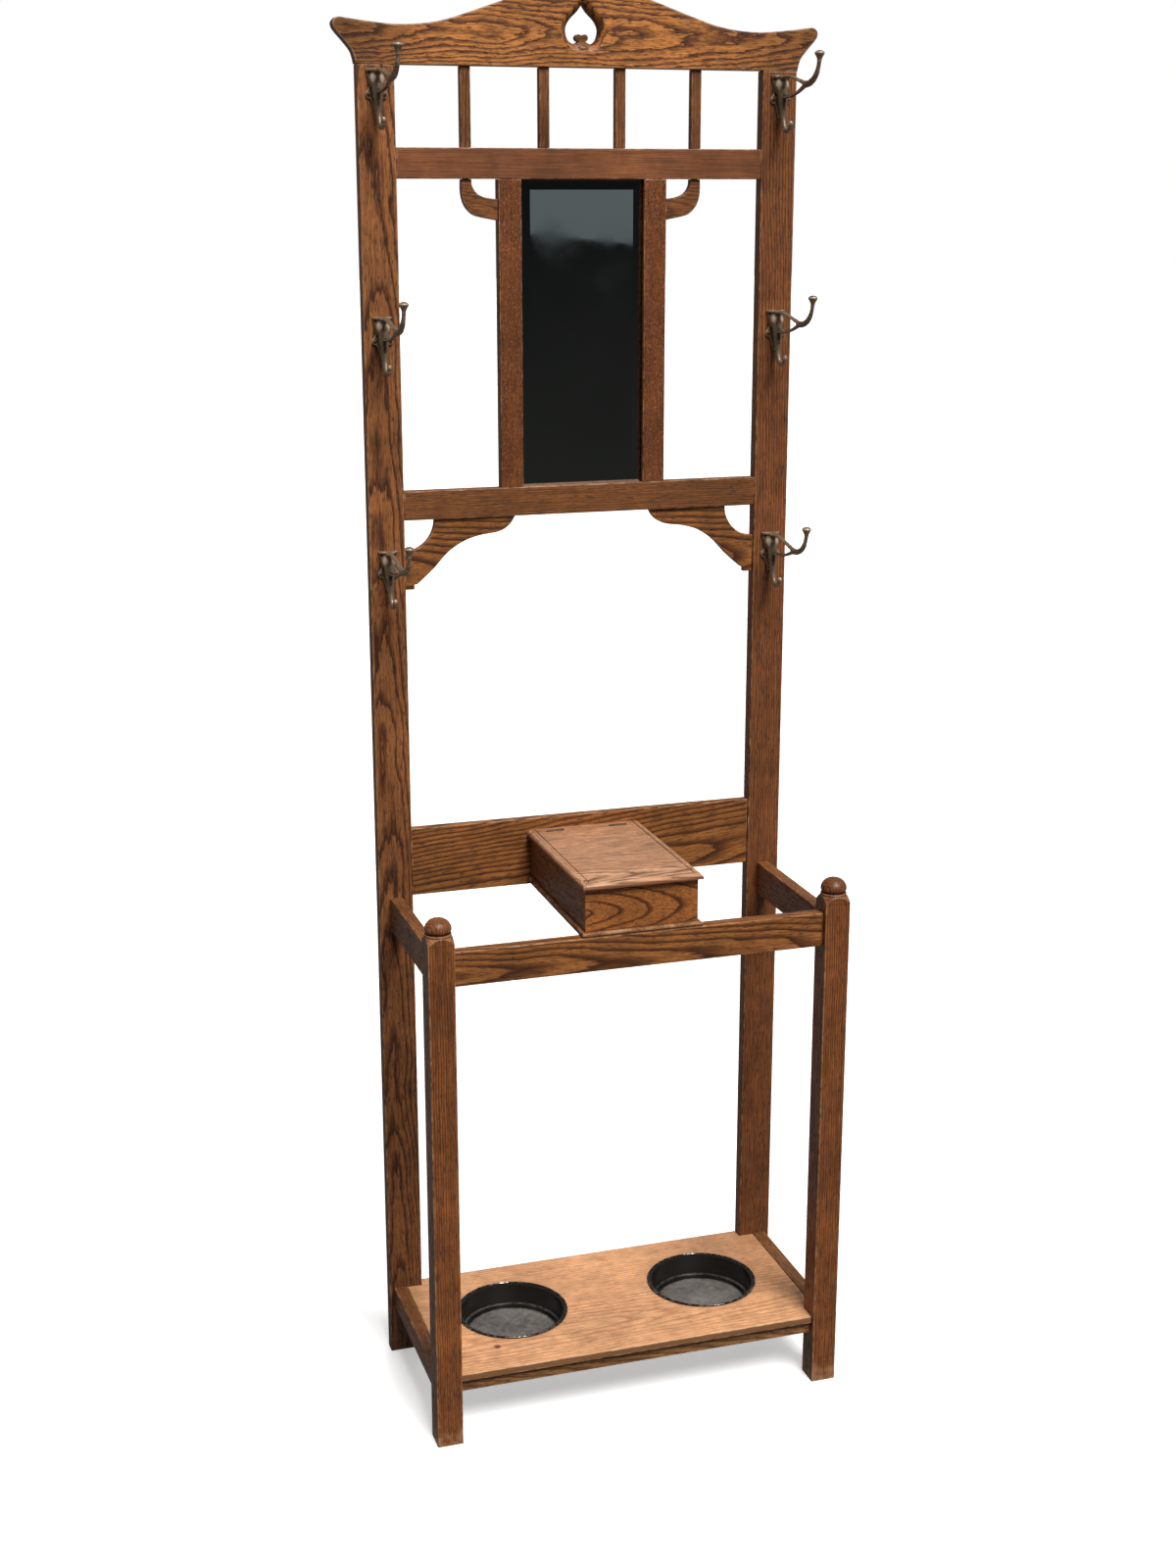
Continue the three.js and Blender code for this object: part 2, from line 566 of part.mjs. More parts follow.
function boxLid() {
  const whole = roundedBoard(BOX_FRONT_Y - 8, SEAM_Y - GAP)
  return cut(whole, ...hingeRoom(-1))
}

function lidStrip() {
  const from = block([-400, 400, SEAM_Y + GAP, WALL_Y, 0, HEIGHT])
  const whole = roundedBoard(BOX_FRONT_Y, BOX_BACK_Y).intersect(from)
  return cut(whole, ...hingeRoom(1))
}

function hingeLeaf(x, side) {
  const third = HINGE_LONG / 3
  const own = side > 0 ? [-third, third] : [0]
  const long = third - GAP
  const knuckles = own.flatMap((shift) => [
    cylinder(KNUCKLE, long, 'x', [x + shift, SEAM_Y, BOX_TOP], 16),
    block([...slim(x + shift, long), ...leafBox(x, side).slice(2, 4), LEAF_Z[1] - 0.5, BOX_TOP - 0.5]),
  ])
  const leaf = joined(block(leafBox(x, side)), ...knuckles)
  const pin = (radius, length) => cylinder(radius, length, 'x', [x, SEAM_Y, BOX_TOP], 12)
  return side > 0 ? leaf.add(pin(1, HINGE_LONG - GAP)) : leaf.subtract(pin(1 + GAP, HINGE_LONG))
}

// ---- hooks, drawn with the post face at y = 0 and the plate's middle at the origin
function coatHook() {
  const side = [
    [12.8, 17], [12, 10], [10.4, 2], [10, -4], [11.6, -8.5], [14.2, -11.5], [14.4, -15.5], [12, -18.6],
    [8.6, -19.4], [6.4, -23], [4.4, -31], [3, -39],
  ]
  const plate = prismY(shapeOf([...side, ...side.slice().reverse().map(([x, z]) => [-x, z])]), -3, 0)
  const lugHoles = [-1, 1].map((s) => cylinder(SCREW_SHANK + GAP, 12, 'y', [s * LUG.x, 0, LUG.z], 12))
  const ledge = new THREE.Shape().absellipse(0, 0, 12.8, 9, Math.PI, 2 * Math.PI)
  const flange = prismZ(ledge, 15, 18)
  const bulge = ball(1, [0, -1, 3], [9, 9.5, 15])
  const reach = HOOK_REACH
  const low = [
    [-5, 4], [-9.5, -14], [-11.5, -32], [-15.5, -47],
    [-23, -56], [-31, -57], [-38, -52], [-41, -46],
  ]
  const lower = rod(low, 3, 11)
  const tip = ball(4.2, [0, -41.5, -44])
  const topStrut = rod([[-5, 15.5], [-34, 15.6], [-62, 10], [-(reach - 42), 2.5]], 2.2, 4)
  const lowStrut = rod([[-4, -12], [-30, -12], [-56, -9], [-(reach - 42), 2.5]], 2.1, 4)
  const arm = rod(
    [[-(reach - 46), 2], [-(reach - 28), 4], [-(reach - 11), 12.5], [-(reach - 2.5), 24], [-reach, 38]],
    2.8,
    7,
  )
  const flare = [[0, 30], [2.6, 30], [3.2, 34], [5.4, 38], [6.5, 40], [6.2, 42], [0, 44.2]]
  const disc = turned(flare, 12, [0, -reach, 0])
  const cast = joined(plate, flange, bulge, lower, tip, topStrut, lowStrut, arm, disc)
  const behind = block([-40, 40, -GAP, 40, -90, 90])
  return cut(cast, behind, ...lugHoles)
}

function hookScrew(x, z) {
  const profile = [
    [0, -SCREW_LONG], [SCREW_SHANK, 1.5 - SCREW_LONG], [SCREW_SHANK, 2.7 + GAP],
    [3.1, 3.3], [2.4, 4.6], [0, 5.1],
  ]
  const screw = new THREE.LatheGeometry(profile.map(([r, h]) => new THREE.Vector2(r, h)), 10)
  return solid(screw.rotateX(Math.PI).translate(x, FACE_Y, z))
}

// ---- the whole object
pair('back_post', backPost(), OAK)
piece('crest_board', crestBoard(), OAK)
piece('upper_rail', upperRail(), OAK)
piece('mid_rail', midRail(), OAK)
piece('lower_back_panel', plainRail(POST_IN, PANEL_Y, BACK_PANEL, panelTenon), OAK)
SLAT_X.forEach((x, i) => piece(`slat_${i + 1}`, slat(x), OAK))
pair('swan_neck', swanNeck(), OAK)
pair('knee_bracket', kneeBracket(), OAK)
pair('mirror_stile', mirrorStile(), OAK)
piece('mirror_glass', mirrorGlass(), GLASS, 0.9)
piece('mirror_backboard', mirrorBackboard(), PLY)

pair('front_leg', frontLeg(), OAK)
piece('front_rail', plainRail(LEG_IN, FRONT_RAIL_Y, FRONT_RAIL, frontTenon), OAK)
pair('side_rail', sideRail(SIDE_RAIL, sideFrontTenon, sideBackTenon), OAK)
piece('lower_front_rail', plainRail(LEG_IN, LOW_RAIL_Y, LOW_RAIL, lowRailTenon), OAK)
piece('lower_back_rail', plainRail(POST_IN, PANEL_Y, LOW_RAIL, backRailTenon), OAK)
pair('lower_side_rail', sideRail(LOW_SIDE, lowFrontTenon, lowBackTenon), OAK)
piece('shelf_board', shelfBoard(), LIGHT_OAK)
pair('drip_pan', dripPan(), TIN, 0.6)

piece('box_base', boxBase(), OAK)
pair('box_side', boxSide(), OAK)
piece('box_front', boxFront(), OAK)
piece('box_back', boxBack(), OAK)
piece('box_lid', boxLid(), OAK)
piece('lid_strip', lidStrip(), OAK)
for (const [where, x] of [['left', -HINGE_X], ['right', HINGE_X]]) {
  piece(`hinge_fixed_leaf_${where}`, hingeLeaf(x, 1), BRASS, 0.9)
  piece(`hinge_lid_leaf_${where}`, hingeLeaf(x, -1), BRASS, 0.9)
}

const hook = coatHook()
HOOK_Z.forEach((z, row) => {
  const level = ['low', 'middle', 'top'][row]
  for (const [where, x] of [['left', -POST_X], ['right', POST_X]]) {
    piece(`hook_${level}_${where}`, hook.translate([x, FACE_Y, z]), BRONZE, 0.9)
    piece(`screw_${level}_${where}_a`, hookScrew(x - LUG.x, z + LUG.z), BRASS, 0.9)
    piece(`screw_${level}_${where}_b`, hookScrew(x + LUG.x, z + LUG.z), BRASS, 0.9)
  }
})

export default root
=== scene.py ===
import functools
import json
import logging
import math
from dataclasses import dataclass
from enum import IntEnum
from typing import Any, Callable, Iterable, Sequence

import bmesh
import bpy
from bmesh.types import BMEdge, BMesh, BMFace
from bpy.types import Material, Node, NodeSocket, Object, World
from mathutils import Matrix, Vector

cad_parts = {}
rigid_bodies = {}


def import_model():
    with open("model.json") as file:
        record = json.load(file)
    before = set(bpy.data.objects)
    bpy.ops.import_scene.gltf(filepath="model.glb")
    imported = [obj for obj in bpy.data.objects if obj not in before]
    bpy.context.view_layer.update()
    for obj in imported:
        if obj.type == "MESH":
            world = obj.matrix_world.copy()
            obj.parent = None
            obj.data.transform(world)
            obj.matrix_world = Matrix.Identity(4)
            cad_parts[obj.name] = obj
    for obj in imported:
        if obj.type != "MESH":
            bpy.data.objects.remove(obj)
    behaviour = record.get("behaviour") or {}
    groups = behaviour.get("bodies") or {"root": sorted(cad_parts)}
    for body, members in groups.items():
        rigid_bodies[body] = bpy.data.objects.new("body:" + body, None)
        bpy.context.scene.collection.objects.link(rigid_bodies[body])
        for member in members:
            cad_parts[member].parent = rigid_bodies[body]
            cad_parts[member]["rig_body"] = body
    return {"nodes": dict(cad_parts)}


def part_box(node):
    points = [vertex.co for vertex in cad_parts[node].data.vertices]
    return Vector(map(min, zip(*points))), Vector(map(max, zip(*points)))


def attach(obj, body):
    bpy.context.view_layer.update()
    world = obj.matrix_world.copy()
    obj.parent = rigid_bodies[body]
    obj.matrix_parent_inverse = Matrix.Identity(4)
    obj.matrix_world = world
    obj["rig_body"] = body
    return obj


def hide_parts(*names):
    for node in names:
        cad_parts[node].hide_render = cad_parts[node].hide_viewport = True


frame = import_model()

log = logging.getLogger("hall_tree")
MM = 0.001
GAP = 0.3 * MM  # the joiner's gap left round each joint
HAIR = 1e-6  # places closer than this are the same
SIDES = ("left", "right")
Colour = tuple[float, float, float, float]
Point = tuple[float, float, float]
Pair = tuple[float, float]
IN_COLOUR = {"out": 2, "data_type": "RGBA"}  # makes a mix node mix colours


class Axis(IntEnum):
    """A direction of the stand: across it, from front to back, or up."""

    X = 0
    Y = 1
    Z = 2


X, Y, Z = Axis


# ---- finishes


def to_linear(code: str) -> Colour:
    """Turns an sRGB hex colour such as "7a4a2e" to linear red, green and blue with alpha 1."""
    parts = [int(code[i : i + 2], 16) / 255 for i in (0, 2, 4)]
    light = [c / 12.92 if c <= 0.04045 else ((c + 0.055) / 1.055) ** 2.4 for c in parts]
    return (light[0], light[1], light[2], 1.0)


def scaled(colour: Colour, share: float) -> Colour:
    """Returns a colour made lighter or darker, with alpha 1."""
    return tuple(min(1.0, share * c) for c in colour[:3]) + (1.0,)


class Recipe:
    """The node tree of one finish, mixed one node at a time."""

    def __init__(self, owner: Material | World) -> None:
        """Opens the node tree of a new material or world."""
        owner.use_nodes = True
        self.owner, self.tree = owner, owner.node_tree

    def add(
        self, kind: str, inputs: dict[Any, Any] | None = None, out: int | str = 0,
        stops: Sequence[tuple[float, Colour]] = (), **settings: Any,
    ) -> NodeSocket:
        """Adds one shader node.

        Args:
            kind: The node's type name without its "ShaderNode".
            inputs: A value or an output socket for each input, by name or number.
            out: The output that is wanted.
            stops: Places and colours of a colour ramp, from the lowest to the highest.
            settings: The node's own properties.

        Returns:
            The wanted output.
        """
        node = self.tree.nodes.new(f"ShaderNode{kind}")
        for name, value in settings.items():
            setattr(node, name, value)
        if stops:
            elements = node.color_ramp.elements
            for place, colour in stops[1:-1]:
                elements.new(place).color = colour
            for element, (place, colour) in ((elements[0], stops[0]), (elements[-1], stops[-1])):
                element.position, element.color = place, colour
        self.feed(node, inputs or {})
        return node.outputs[out]

    def feed(self, node: Node, inputs: dict[Any, Any]) -> None:
        """Sets a node's inputs.

        Args:
            node: The node.
            inputs: A value or an output socket for each input, by name or number.
        """
        for key, value in inputs.items():
            if isinstance(value, NodeSocket):
                self.tree.links.new(value, node.inputs[key])
            else:
                node.inputs[key].default_value = value

    def finish(
        self, relief: NodeSocket | None, strength: float, deep: float, **surface: Any
    ) -> Material:
        """Dresses the surface with what has been mixed.

        Args:
            relief: The height of the surface, or nothing on a smooth one.
            strength: How strongly the relief shows.
            deep: Depth of the relief, in metres.
            surface: The shader's inputs, with an underscore for each space in a name.

        Returns:
            The finished material.
        """
        shader = self.tree.nodes["Principled BSDF"]
        self.feed(shader, {name.replace("_", " "): value for name, value in surface.items()})
        if relief:
            bump = self.add("Bump", {"Height": relief, "Strength": strength, "Distance": deep})
            self.feed(shader, {"Normal": bump})
        return self.owner

    def clouds(self, where: NodeSocket, scale: Point, detail: float) -> NodeSocket:
        """Draws clouds.

        Args:
            where: The coordinates that they lie in.
            scale: Clouds per metre in each direction.
            detail: How many finer layers they have.

        Returns:
            Their density, from 0 to 1 about a half.
        """
        where = self.add("Mapping", {"Vector": where, "Scale": scale})
        return self.add("TexNoise", {"Vector": where, "Scale": 1.0, "Detail": detail})

    def shade(self, colour: NodeSocket, level: NodeSocket, low: Pair, high: Pair) -> NodeSocket:
        """Makes a colour lighter or darker.

        Args:
            colour: The colour.
            level: What the shade follows.
            low: A level and the strength of the colour there.
            high: A higher level and the strength there.

        Returns:
            The shaded colour.
        """
        spans = {"From Min": low[0], "From Max": high[0], "To Min": low[1], "To Max": high[1]}
        strength = self.add("MapRange", {"Value": level, **spans})
        return self.add("VectorMath", {0: colour, 3: strength}, operation="SCALE")


@dataclass(frozen=True)
class OakFinish:
    """Oak under dark stain and shellac, which shows ring figure, open pores and pale worn arrises.

    Attributes:
        name: The finish's name.
        late: Colour of the dense latewood between the pore rings.
        early: Colour of the porous earlywood, which takes more stain.
        worn: Colour where handling has rubbed the stain away.
        ring: Distance from one ring to the next on the show face, in metres.
        ragged: How far the rings jump from fibre to fibre, in radians of ring phase.
        jagged: How many of those jumps fit in one ring.
        wander: How far the rings stray over each 60 mm, in metres.
        stretch: How much shorter the figure is drawn along the board than across it.
        band: Share of each ring that is dark earlywood.
        fleck: Strength of the pale ray flecks that quarter-sawn boards show.
        pore: Strength of the dark open pores.
        streaky: How strongly the stain varies from fibre to fibre.
        gloss: Roughness of the shellac.
        wear: How much of an arris is rubbed bare, from 0 to 1.
        painted_foot_shade: How much darker painted shade makes the wood at the floor than at the top of
            the stand.
        dark_ends: How much darker it is at the ends of the crest than in its middle.
        edge: Colour of the upright edges of a board whose top is bare, or nothing.
        knots: Places of small dark knots, as x, y and z in metres.
    """

    name: str
    late: str
    early: str
    worn: str = "b98d64"
    ring: float = 5.0 * MM
    ragged: float = 3.0
    jagged: float = 2.0
    wander: float = 6.0 * MM
    stretch: float = 0.12
    band: float = 0.4
    fleck: float = 0.0
    pore: float = 0.7
    streaky: float = 1.0
    gloss: float = 0.4
    wear: float = 0.5
    painted_foot_shade: float = 0.0
    dark_ends: float = 0.0
    edge: str = ""
    knots: tuple[Point, ...] = ()

    @functools.cache
    def material(self) -> Material:
        """Builds the node tree once and returns the material."""
        mix = Recipe(bpy.data.materials.new(self.name))
        grain = mix.add("Attribute", out="Vector", attribute_name="grain")
        place = mix.add("TexCoord", out="Object")
        rings = self.rings(mix, grain)
        early, late = to_linear(self.early), to_linear(self.late)
        middle = tuple(0.6 * a + 0.4 * b for a, b in zip(early, late))
        bands = [(0.0, early), (0.5 * self.band, middle), (self.band, late), (0.9, late), (1.0, early)]
        colour = mix.add("ValToRGB", {"Fac": rings}, stops=bands)
        # Streaks about 2 mm wide and 80 mm long: uneven uptake of the stain along the fibres.
        streak = mix.clouds(grain, (12.0, 480.0, 480.0), 2.0)
        low, high = (0.3, 1 - 0.36 * self.streaky), (0.7, 1 + 0.22 * self.streaky)
        colour = mix.shade(colour, streak, low, high)
        # Oak pores are about 0.3 mm wide; they are drawn 1.2 mm wide and 12 mm long to show.
        pores = mix.clouds(grain, (82.0, 830.0, 830.0), 1.0)
        spans = {"From Min": 0.54, "From Max": 0.66, "To Max": self.pore}
        pores = mix.add("MapRange", {"Value": pores, **spans})
        colour = mix.add("Mix", {0: pores, 6: colour, 7: scaled(early, 0.4)}, **IN_COLOUR)
        if self.fleck:
            # Ray flecks are about 10 mm long and 1.4 mm wide, at a slant to the fibres.
            slant = mix.add("Mapping", {"Vector": grain, "Rotation": (0.0, 0.3, 0.38)})
            rays = mix.clouds(slant, (95.0, 720.0, 720.0), 1.0)
            spans = {"From Min": 0.55, "From Max": 0.61, "To Max": self.fleck}
            rays = mix.add("MapRange", {"Value": rays, **spans})
            colour = mix.add("Mix", {0: rays, 6: colour, 7: scaled(late, 1.9)}, **IN_COLOUR)
        colour = self.handled(mix, self.aged(mix, colour, place), place)
        spans = {"From Min": 0.3, "From Max": 0.7}
        spans |= {"To Min": self.gloss + 0.12, "To Max": self.gloss - 0.05}
        rough = mix.add("MapRange", {"Value": streak, **spans})
        inputs = {0: pores, 1: 0.6, 2: rough}
        rough = mix.add("Math", inputs, operation="MULTIPLY_ADD", use_clamp=True)
        relief = mix.add("Math", {0: streak, 1: 0.5, 2: rings}, operation="MULTIPLY_ADD")
        relief = mix.add("Math", {0: relief, 1: pores}, operation="SUBTRACT")
        return mix.finish(
            relief, 0.35, 0.25 * MM, Base_Color=colour, Roughness=rough, Specular_IOR_Level=0.4
        )

    def rings(self, mix: Recipe, grain: NodeSocket) -> NodeSocket:
        """Draws the growth rings about the log's centre line.

        Args:
            mix: The finish's recipe.
            grain: The place in the log.

        Returns:
            The place in the ring, from 0 in the first earlywood to 1 in the last latewood.
        """
        drift = mix.add("Mapping", {"Vector": grain, "Scale": (7.0, 17.0, 17.0)})
        drift = mix.add("TexNoise", {"Vector": drift, "Scale": 1.0, "Detail": 1.0}, out="Color")
        stray = (0.0, 2 * self.wander, 2 * self.wander)
        bent = mix.add("VectorMath", {0: drift, 1: stray, 2: grain}, operation="MULTIPLY_ADD")
        log_space = mix.add("Mapping", {"Vector": bent, "Scale": (self.stretch, 1.0, 1.0)})
        # The wave's phase turns once in 0.314 units, so this scale sets one ring to its real width.
        wave = {"Vector": log_space, "Scale": 0.314 / self.ring, "Distortion": self.ragged}
        wave |= {"Detail": 3.0, "Detail Scale": self.jagged, "Detail Roughness": 0.65}
        return mix.add(
            "TexWave", wave, out="Fac", wave_type="RINGS", rings_direction="X", wave_profile="SAW"
        )

    def aged(self, mix: Recipe, colour: NodeSocket, place: NodeSocket) -> NodeSocket:
        """Darkens the wood where shellac and light have darkened it, and paints shade that deepens
        towards the floor.

        Args:
            mix: The finish's recipe.
            colour: The stained wood.
            place: The place on the stand.

        Returns:
            The aged colour.
        """
        # Old shellac has darkened in clouds about 150 mm across, and in blots of about 20 mm.
        cloud = mix.clouds(place, (7.0, 7.0, 7.0), 3.0)
        colour = mix.shade(colour, cloud, (0.3, 0.74), (0.68, 1.12))
        blots = mix.clouds(place, (45.0, 45.0, 45.0), 2.0)
        colour = mix.shade(colour, blots, (0.34, 0.86), (0.6, 1.05))
        # Painted shade: the wood is drawn darker towards the floor, fading out 1.9 m up.
        if self.painted_foot_shade:
            up = mix.add("SeparateXYZ", {"Vector": place}, out="Z")
            colour = mix.shade(colour, up, (0.0, 1 - self.painted_foot_shade), (1.9, 1.0))
        if self.dark_ends:
            across = mix.add("SeparateXYZ", {"Vector": place}, out="X")
            out = mix.add("Math", {0: across}, operation="ABSOLUTE")
            colour = mix.shade(colour, out, (0.2, 1.0), (0.32, 1 - self.dark_ends))
        for knot in self.knots:
            away = mix.add("VectorMath", {0: place, 1: knot}, out="Value", operation="DISTANCE")
            spans = {"From Min": 3 * MM, "From Max": 7 * MM, "To Min": 0.9, "To Max": 0.0}
            spot = mix.add("MapRange", {"Value": away, **spans})
            colour = mix.add("Mix", {0: spot, 6: colour, 7: to_linear("5a2a1c")}, **IN_COLOUR)
        return colour

    def handled(self, mix: Recipe, colour: NodeSocket, place: NodeSocket) -> NodeSocket:
        """Rubs the arrises bare and darkens the hollows with grime and painted shade, as the wear
        attribute says.

        Args:
            mix: The finish's recipe.
            colour: The aged wood.
            place: The place on the stand.

        Returns:
            The colour with its wear.
        """
        if self.edge:
            normal = mix.add("NewGeometry", out="Normal")
            up = mix.add("SeparateXYZ", {"Vector": normal}, out="Z")
            spans = {"From Min": 0.6, "From Max": 0.2, "To Max": 0.88}
            upright = mix.add("MapRange", {"Value": up, **spans})
            colour = mix.add("Mix", {0: upright, 6: colour, 7: to_linear(self.edge)}, **IN_COLOUR)
        edge = mix.add("Attribute", out="Fac", attribute_name="wear")
        rub = mix.clouds(place, (75.0, 75.0, 75.0), 3.0)
        rubbed = mix.add("Math", {0: edge, 1: rub}, operation="MULTIPLY")
        spans = {"From Min": 0.62 - 0.4 * self.wear, "From Max": 0.72, "To Max": 0.8}
        bare = mix.add("MapRange", {"Value": rubbed, **spans})
        colour = mix.add("Mix", {0: bare, 6: colour, 7: to_linear(self.worn)}, **IN_COLOUR)
        # Wear below nothing is grime that polish has left in a hollow, together with painted shade in
        # that hollow.
        dirt_and_shade = mix.add("MapRange", {"Value": edge, "From Max": -1.0, "To Max": 0.92})
        return mix.add("Mix", {0: dirt_and_shade, 6: colour, 7: scaled(to_linear(self.early), 0.25)}, **IN_COLOUR)


CREST_OAK = OakFinish(
    "figured_oak_crest", late="cb8140", early="502918", worn="b0927a", ring=4.6 * MM, ragged=4.2,
    jagged=2.2, wander=9.0 * MM, stretch=0.24, band=0.5, gloss=0.44, wear=0.7, dark_ends=0.5,
)
LEFT_POST_OAK = OakFinish(
    "flat_sawn_oak_post", late="a76839", early="4a2613", ring=4.2 * MM, ragged=3.6, stretch=0.1,
    painted_foot_shade=0.56,
)
RIGHT_POST_OAK = OakFinish(
    "rift_sawn_oak_post", late="965a31", early="5d331a", ring=3.6 * MM, stretch=0.05,
    wander=3.0 * MM, painted_foot_shade=0.3,
)
UPPER_RAIL_OAK = OakFinish(
    "plain_oak_rail", late="965c37", early="754328", ring=2.6 * MM, stretch=0.08,
    wander=2.0 * MM, pore=0.3,
)
RAIL_OAK = OakFinish(
    "straight_oak_rail", late="8c572e", early="63391c", ring=3.0 * MM, stretch=0.08,
    wander=2.0 * MM,
)
STILE_OAK = OakFinish(
    "quarter_sawn_oak", late="7b4622", early="572d16", ring=2.8 * MM, stretch=0.08,
    wander=2.0 * MM, fleck=0.6,
)
PANEL_OAK = OakFinish(
    "flat_sawn_oak_panel", late="9c612f", early="472410", ring=6.4 * MM, ragged=2.0, jagged=3.0,
    stretch=0.07, band=0.5,
)
LEG_OAK = OakFinish(
    "rift_sawn_oak_leg", late="8a5129", early="562d16", ring=3.4 * MM, stretch=0.06,
    wander=3.0 * MM, gloss=0.36, wear=0.7,
)
FRONT_OAK = OakFinish(
    "figured_oak_front", late="a3622d", early="4a250e", ring=9.5 * MM, ragged=1.3, jagged=1.2,
    wander=4.0 * MM, stretch=0.24, band=0.22,
)
LID_OAK = OakFinish(
    "rubbed_oak_lid", late="ce956d", early="71472d", worn="d9ad88", ring=3.4 * MM, ragged=3.6,
    stretch=0.06, wander=5.0 * MM, band=0.5, gloss=0.28, wear=0.8, pore=0.35,
    streaky=1.3, edge="6a3d28",
)
SHELF_OAK = OakFinish(
    "bare_worn_oak_shelf", late="d89f70", early="ba7f56", worn="d9b48f", ring=5.0 * MM,
    stretch=0.1, pore=0.45, streaky=0.5, gloss=0.58, wear=0.6, edge="6b4629",
    knots=((-0.199, -0.083, 0.105),),
)
LOWER_RAIL_OAK = OakFinish(
    "rubbed_oak_lower_rail", late="91643a", early="5d3a1f", ring=3.6 * MM, stretch=0.08, wear=0.7,
)
BACKBOARD_WOOD = OakFinish(
    "thin_pine_backboard", late="9a7650", early="7c5a3a", ring=8.0 * MM, ragged=2.0, jagged=1.0,
    gloss=0.65, wear=0.3,
)


@dataclass(frozen=True)
class BronzeFinish:
    """Cast iron under worn bronze plate: dull brown in the hollows, pinkish tan where it is rubbed."""

    name: str = "worn_bronze_plate"
    hollow: str = "2a201a"
    body: str = "806a52"
    # The rubbed colour also paints the highlight on each hook's nose.
    rubbed: str = "d2bba4"

    @functools.cache
    def material(self) -> Material:
        """Builds the node tree once and returns the material."""
        mix = Recipe(bpy.data.materials.new(self.name))
        place = mix.add("TexCoord", out="Object")
        # Patches of plate about 4 mm across, and a sand-cast grain of about 0.8 mm.
        patch = mix.add("TexNoise", {"Vector": place, "Scale": 240.0, "Detail": 4.0})
        sand = mix.add("TexNoise", {"Vector": place, "Scale": 1200.0, "Detail": 2.0})
        # On the hooks the wear attribute also holds a painted highlight on the nose.
        edge = mix.add("Attribute", out="Fac", attribute_name="wear")
        height = mix.add("Math", {0: patch, 1: 0.55, 2: edge}, operation="MULTIPLY_ADD")
        hollow, body, rubbed = (to_linear(c) for c in (self.hollow, self.body, self.rubbed))
        stops = [(0.2, hollow), (0.5, body), (0.76, body), (1.0, rubbed)]
        colour = mix.add("ValToRGB", {"Fac": height}, stops=stops)
        spans = {"From Min": 0.1, "From Max": 0.9, "To Min": 0.62, "To Max": 0.36}
        rough = mix.add("MapRange", {"Value": height, **spans})
        return mix.finish(sand, 0.4, 0.15 * MM, Base_Color=colour, Roughness=rough, Metallic=0.4)


BRONZE = BronzeFinish()
SCREW_BRASS = BronzeFinish("darkened_brass_screws", hollow="2c2015", body="5c4630", rubbed="a98d68")
HINGE_BRASS = BronzeFinish("aged_hinge_brass", hollow="3a2b18", body="6a5030", rubbed="a98a55")


@dataclass(frozen=True)
class JapannedTin:
    """Tinplate under black japan: glossy black walls, a bright worn rim and a dusty grey floor."""

    name: str = "japanned_tin"
    japan: str = "17120f"
    bare: str = "a39890"
    dust: str = "7a746e"

    @functools.cache
    def material(self) -> Material:
        """Builds the node tree once and returns the material."""
        mix = Recipe(bpy.data.materials.new(self.name))
        place = mix.add("TexCoord", out="Object")
        speck = mix.add("TexNoise", {"Vector": place, "Scale": 160.0, "Detail": 4.0})
        film = mix.add("TexNoise", {"Vector": place, "Scale": 22.0, "Detail": 5.0})
        floor = mix.add("Attribute", out="Fac", attribute_name="dust")
        grit = mix.add("Math", {0: speck, 1: 0.8, 2: film}, operation="MULTIPLY_ADD")
        dusty = mix.add("Math", {0: floor, 1: grit}, operation="MULTIPLY")
        spans = {"From Min": 0.35, "From Max": 1.15, "To Max": 0.95}
        dusty = mix.add("MapRange", {"Value": dusty, **spans})
        japan, dust = to_linear(self.japan), to_linear(self.dust)
        colour = mix.add("Mix", {0: dusty, 6: japan, 7: dust}, **IN_COLOUR)
        edge = mix.add("Attribute", out="Fac", attribute_name="wear")
        chipped = mix.add("Math", {0: edge, 1: speck}, operation="MULTIPLY")
        chipped = mix.add("MapRange", {"Value": chipped, "From Min": 0.53, "From Max": 0.63})
        colour = mix.add("Mix", {0: chipped, 6: colour, 7: to_linear(self.bare)}, **IN_COLOUR)
        rough = mix.add("MapRange", {"Value": dusty, "From Max": 0.9, "To Min": 0.2, "To Max": 0.62})
        return mix.finish(speck, 0.25, 0.1 * MM, Base_Color=colour, Roughness=rough, Metallic=chipped)


@dataclass(frozen=True)
class SilveredGlass:
    """Plate glass silvered behind: a clear dark reflection with brown foxing along the edges."""

    name: str = "silvered_plate_glass"
    silver: str = "c9cfcd"
    foxed: str = "2a2420"

    @functools.cache
    def material(self) -> Material:
        """Builds the node tree once and returns the material."""
        mix = Recipe(bpy.data.materials.new(self.name))
        place = mix.add("TexCoord", out="Object")
        # Foxing spots are 1 to 3 mm across.
        spot = mix.add("TexNoise", {"Vector": place, "Scale": 260.0, "Detail": 4.0})
        edge = mix.add("Attribute", out="Fac", attribute_name="wear")
        spots = mix.add("Math", {0: edge, 1: spot}, operation="MULTIPLY")
        spans = {"From Min": 0.42, "From Max": 0.6, "To Max": 0.9}
        foxing = mix.add("MapRange", {"Value": spots, **spans})
        silver, foxed = to_linear(self.silver), to_linear(self.foxed)
        colour = mix.add("Mix", {0: foxing, 6: silver, 7: foxed}, **IN_COLOUR)
        smear = mix.add("TexNoise", {"Vector": place, "Scale": 14.0, "Detail": 3.0})
        spans = {"From Min": 0.4, "From Max": 0.75, "To Min": 0.01, "To Max": 0.09}
        rough = mix.add("MapRange", {"Value": smear, **spans})
        return mix.finish(None, 0.0, 0.0, Base_Color=colour, Roughness=rough, Metallic=1.0)


# ---- shared making steps


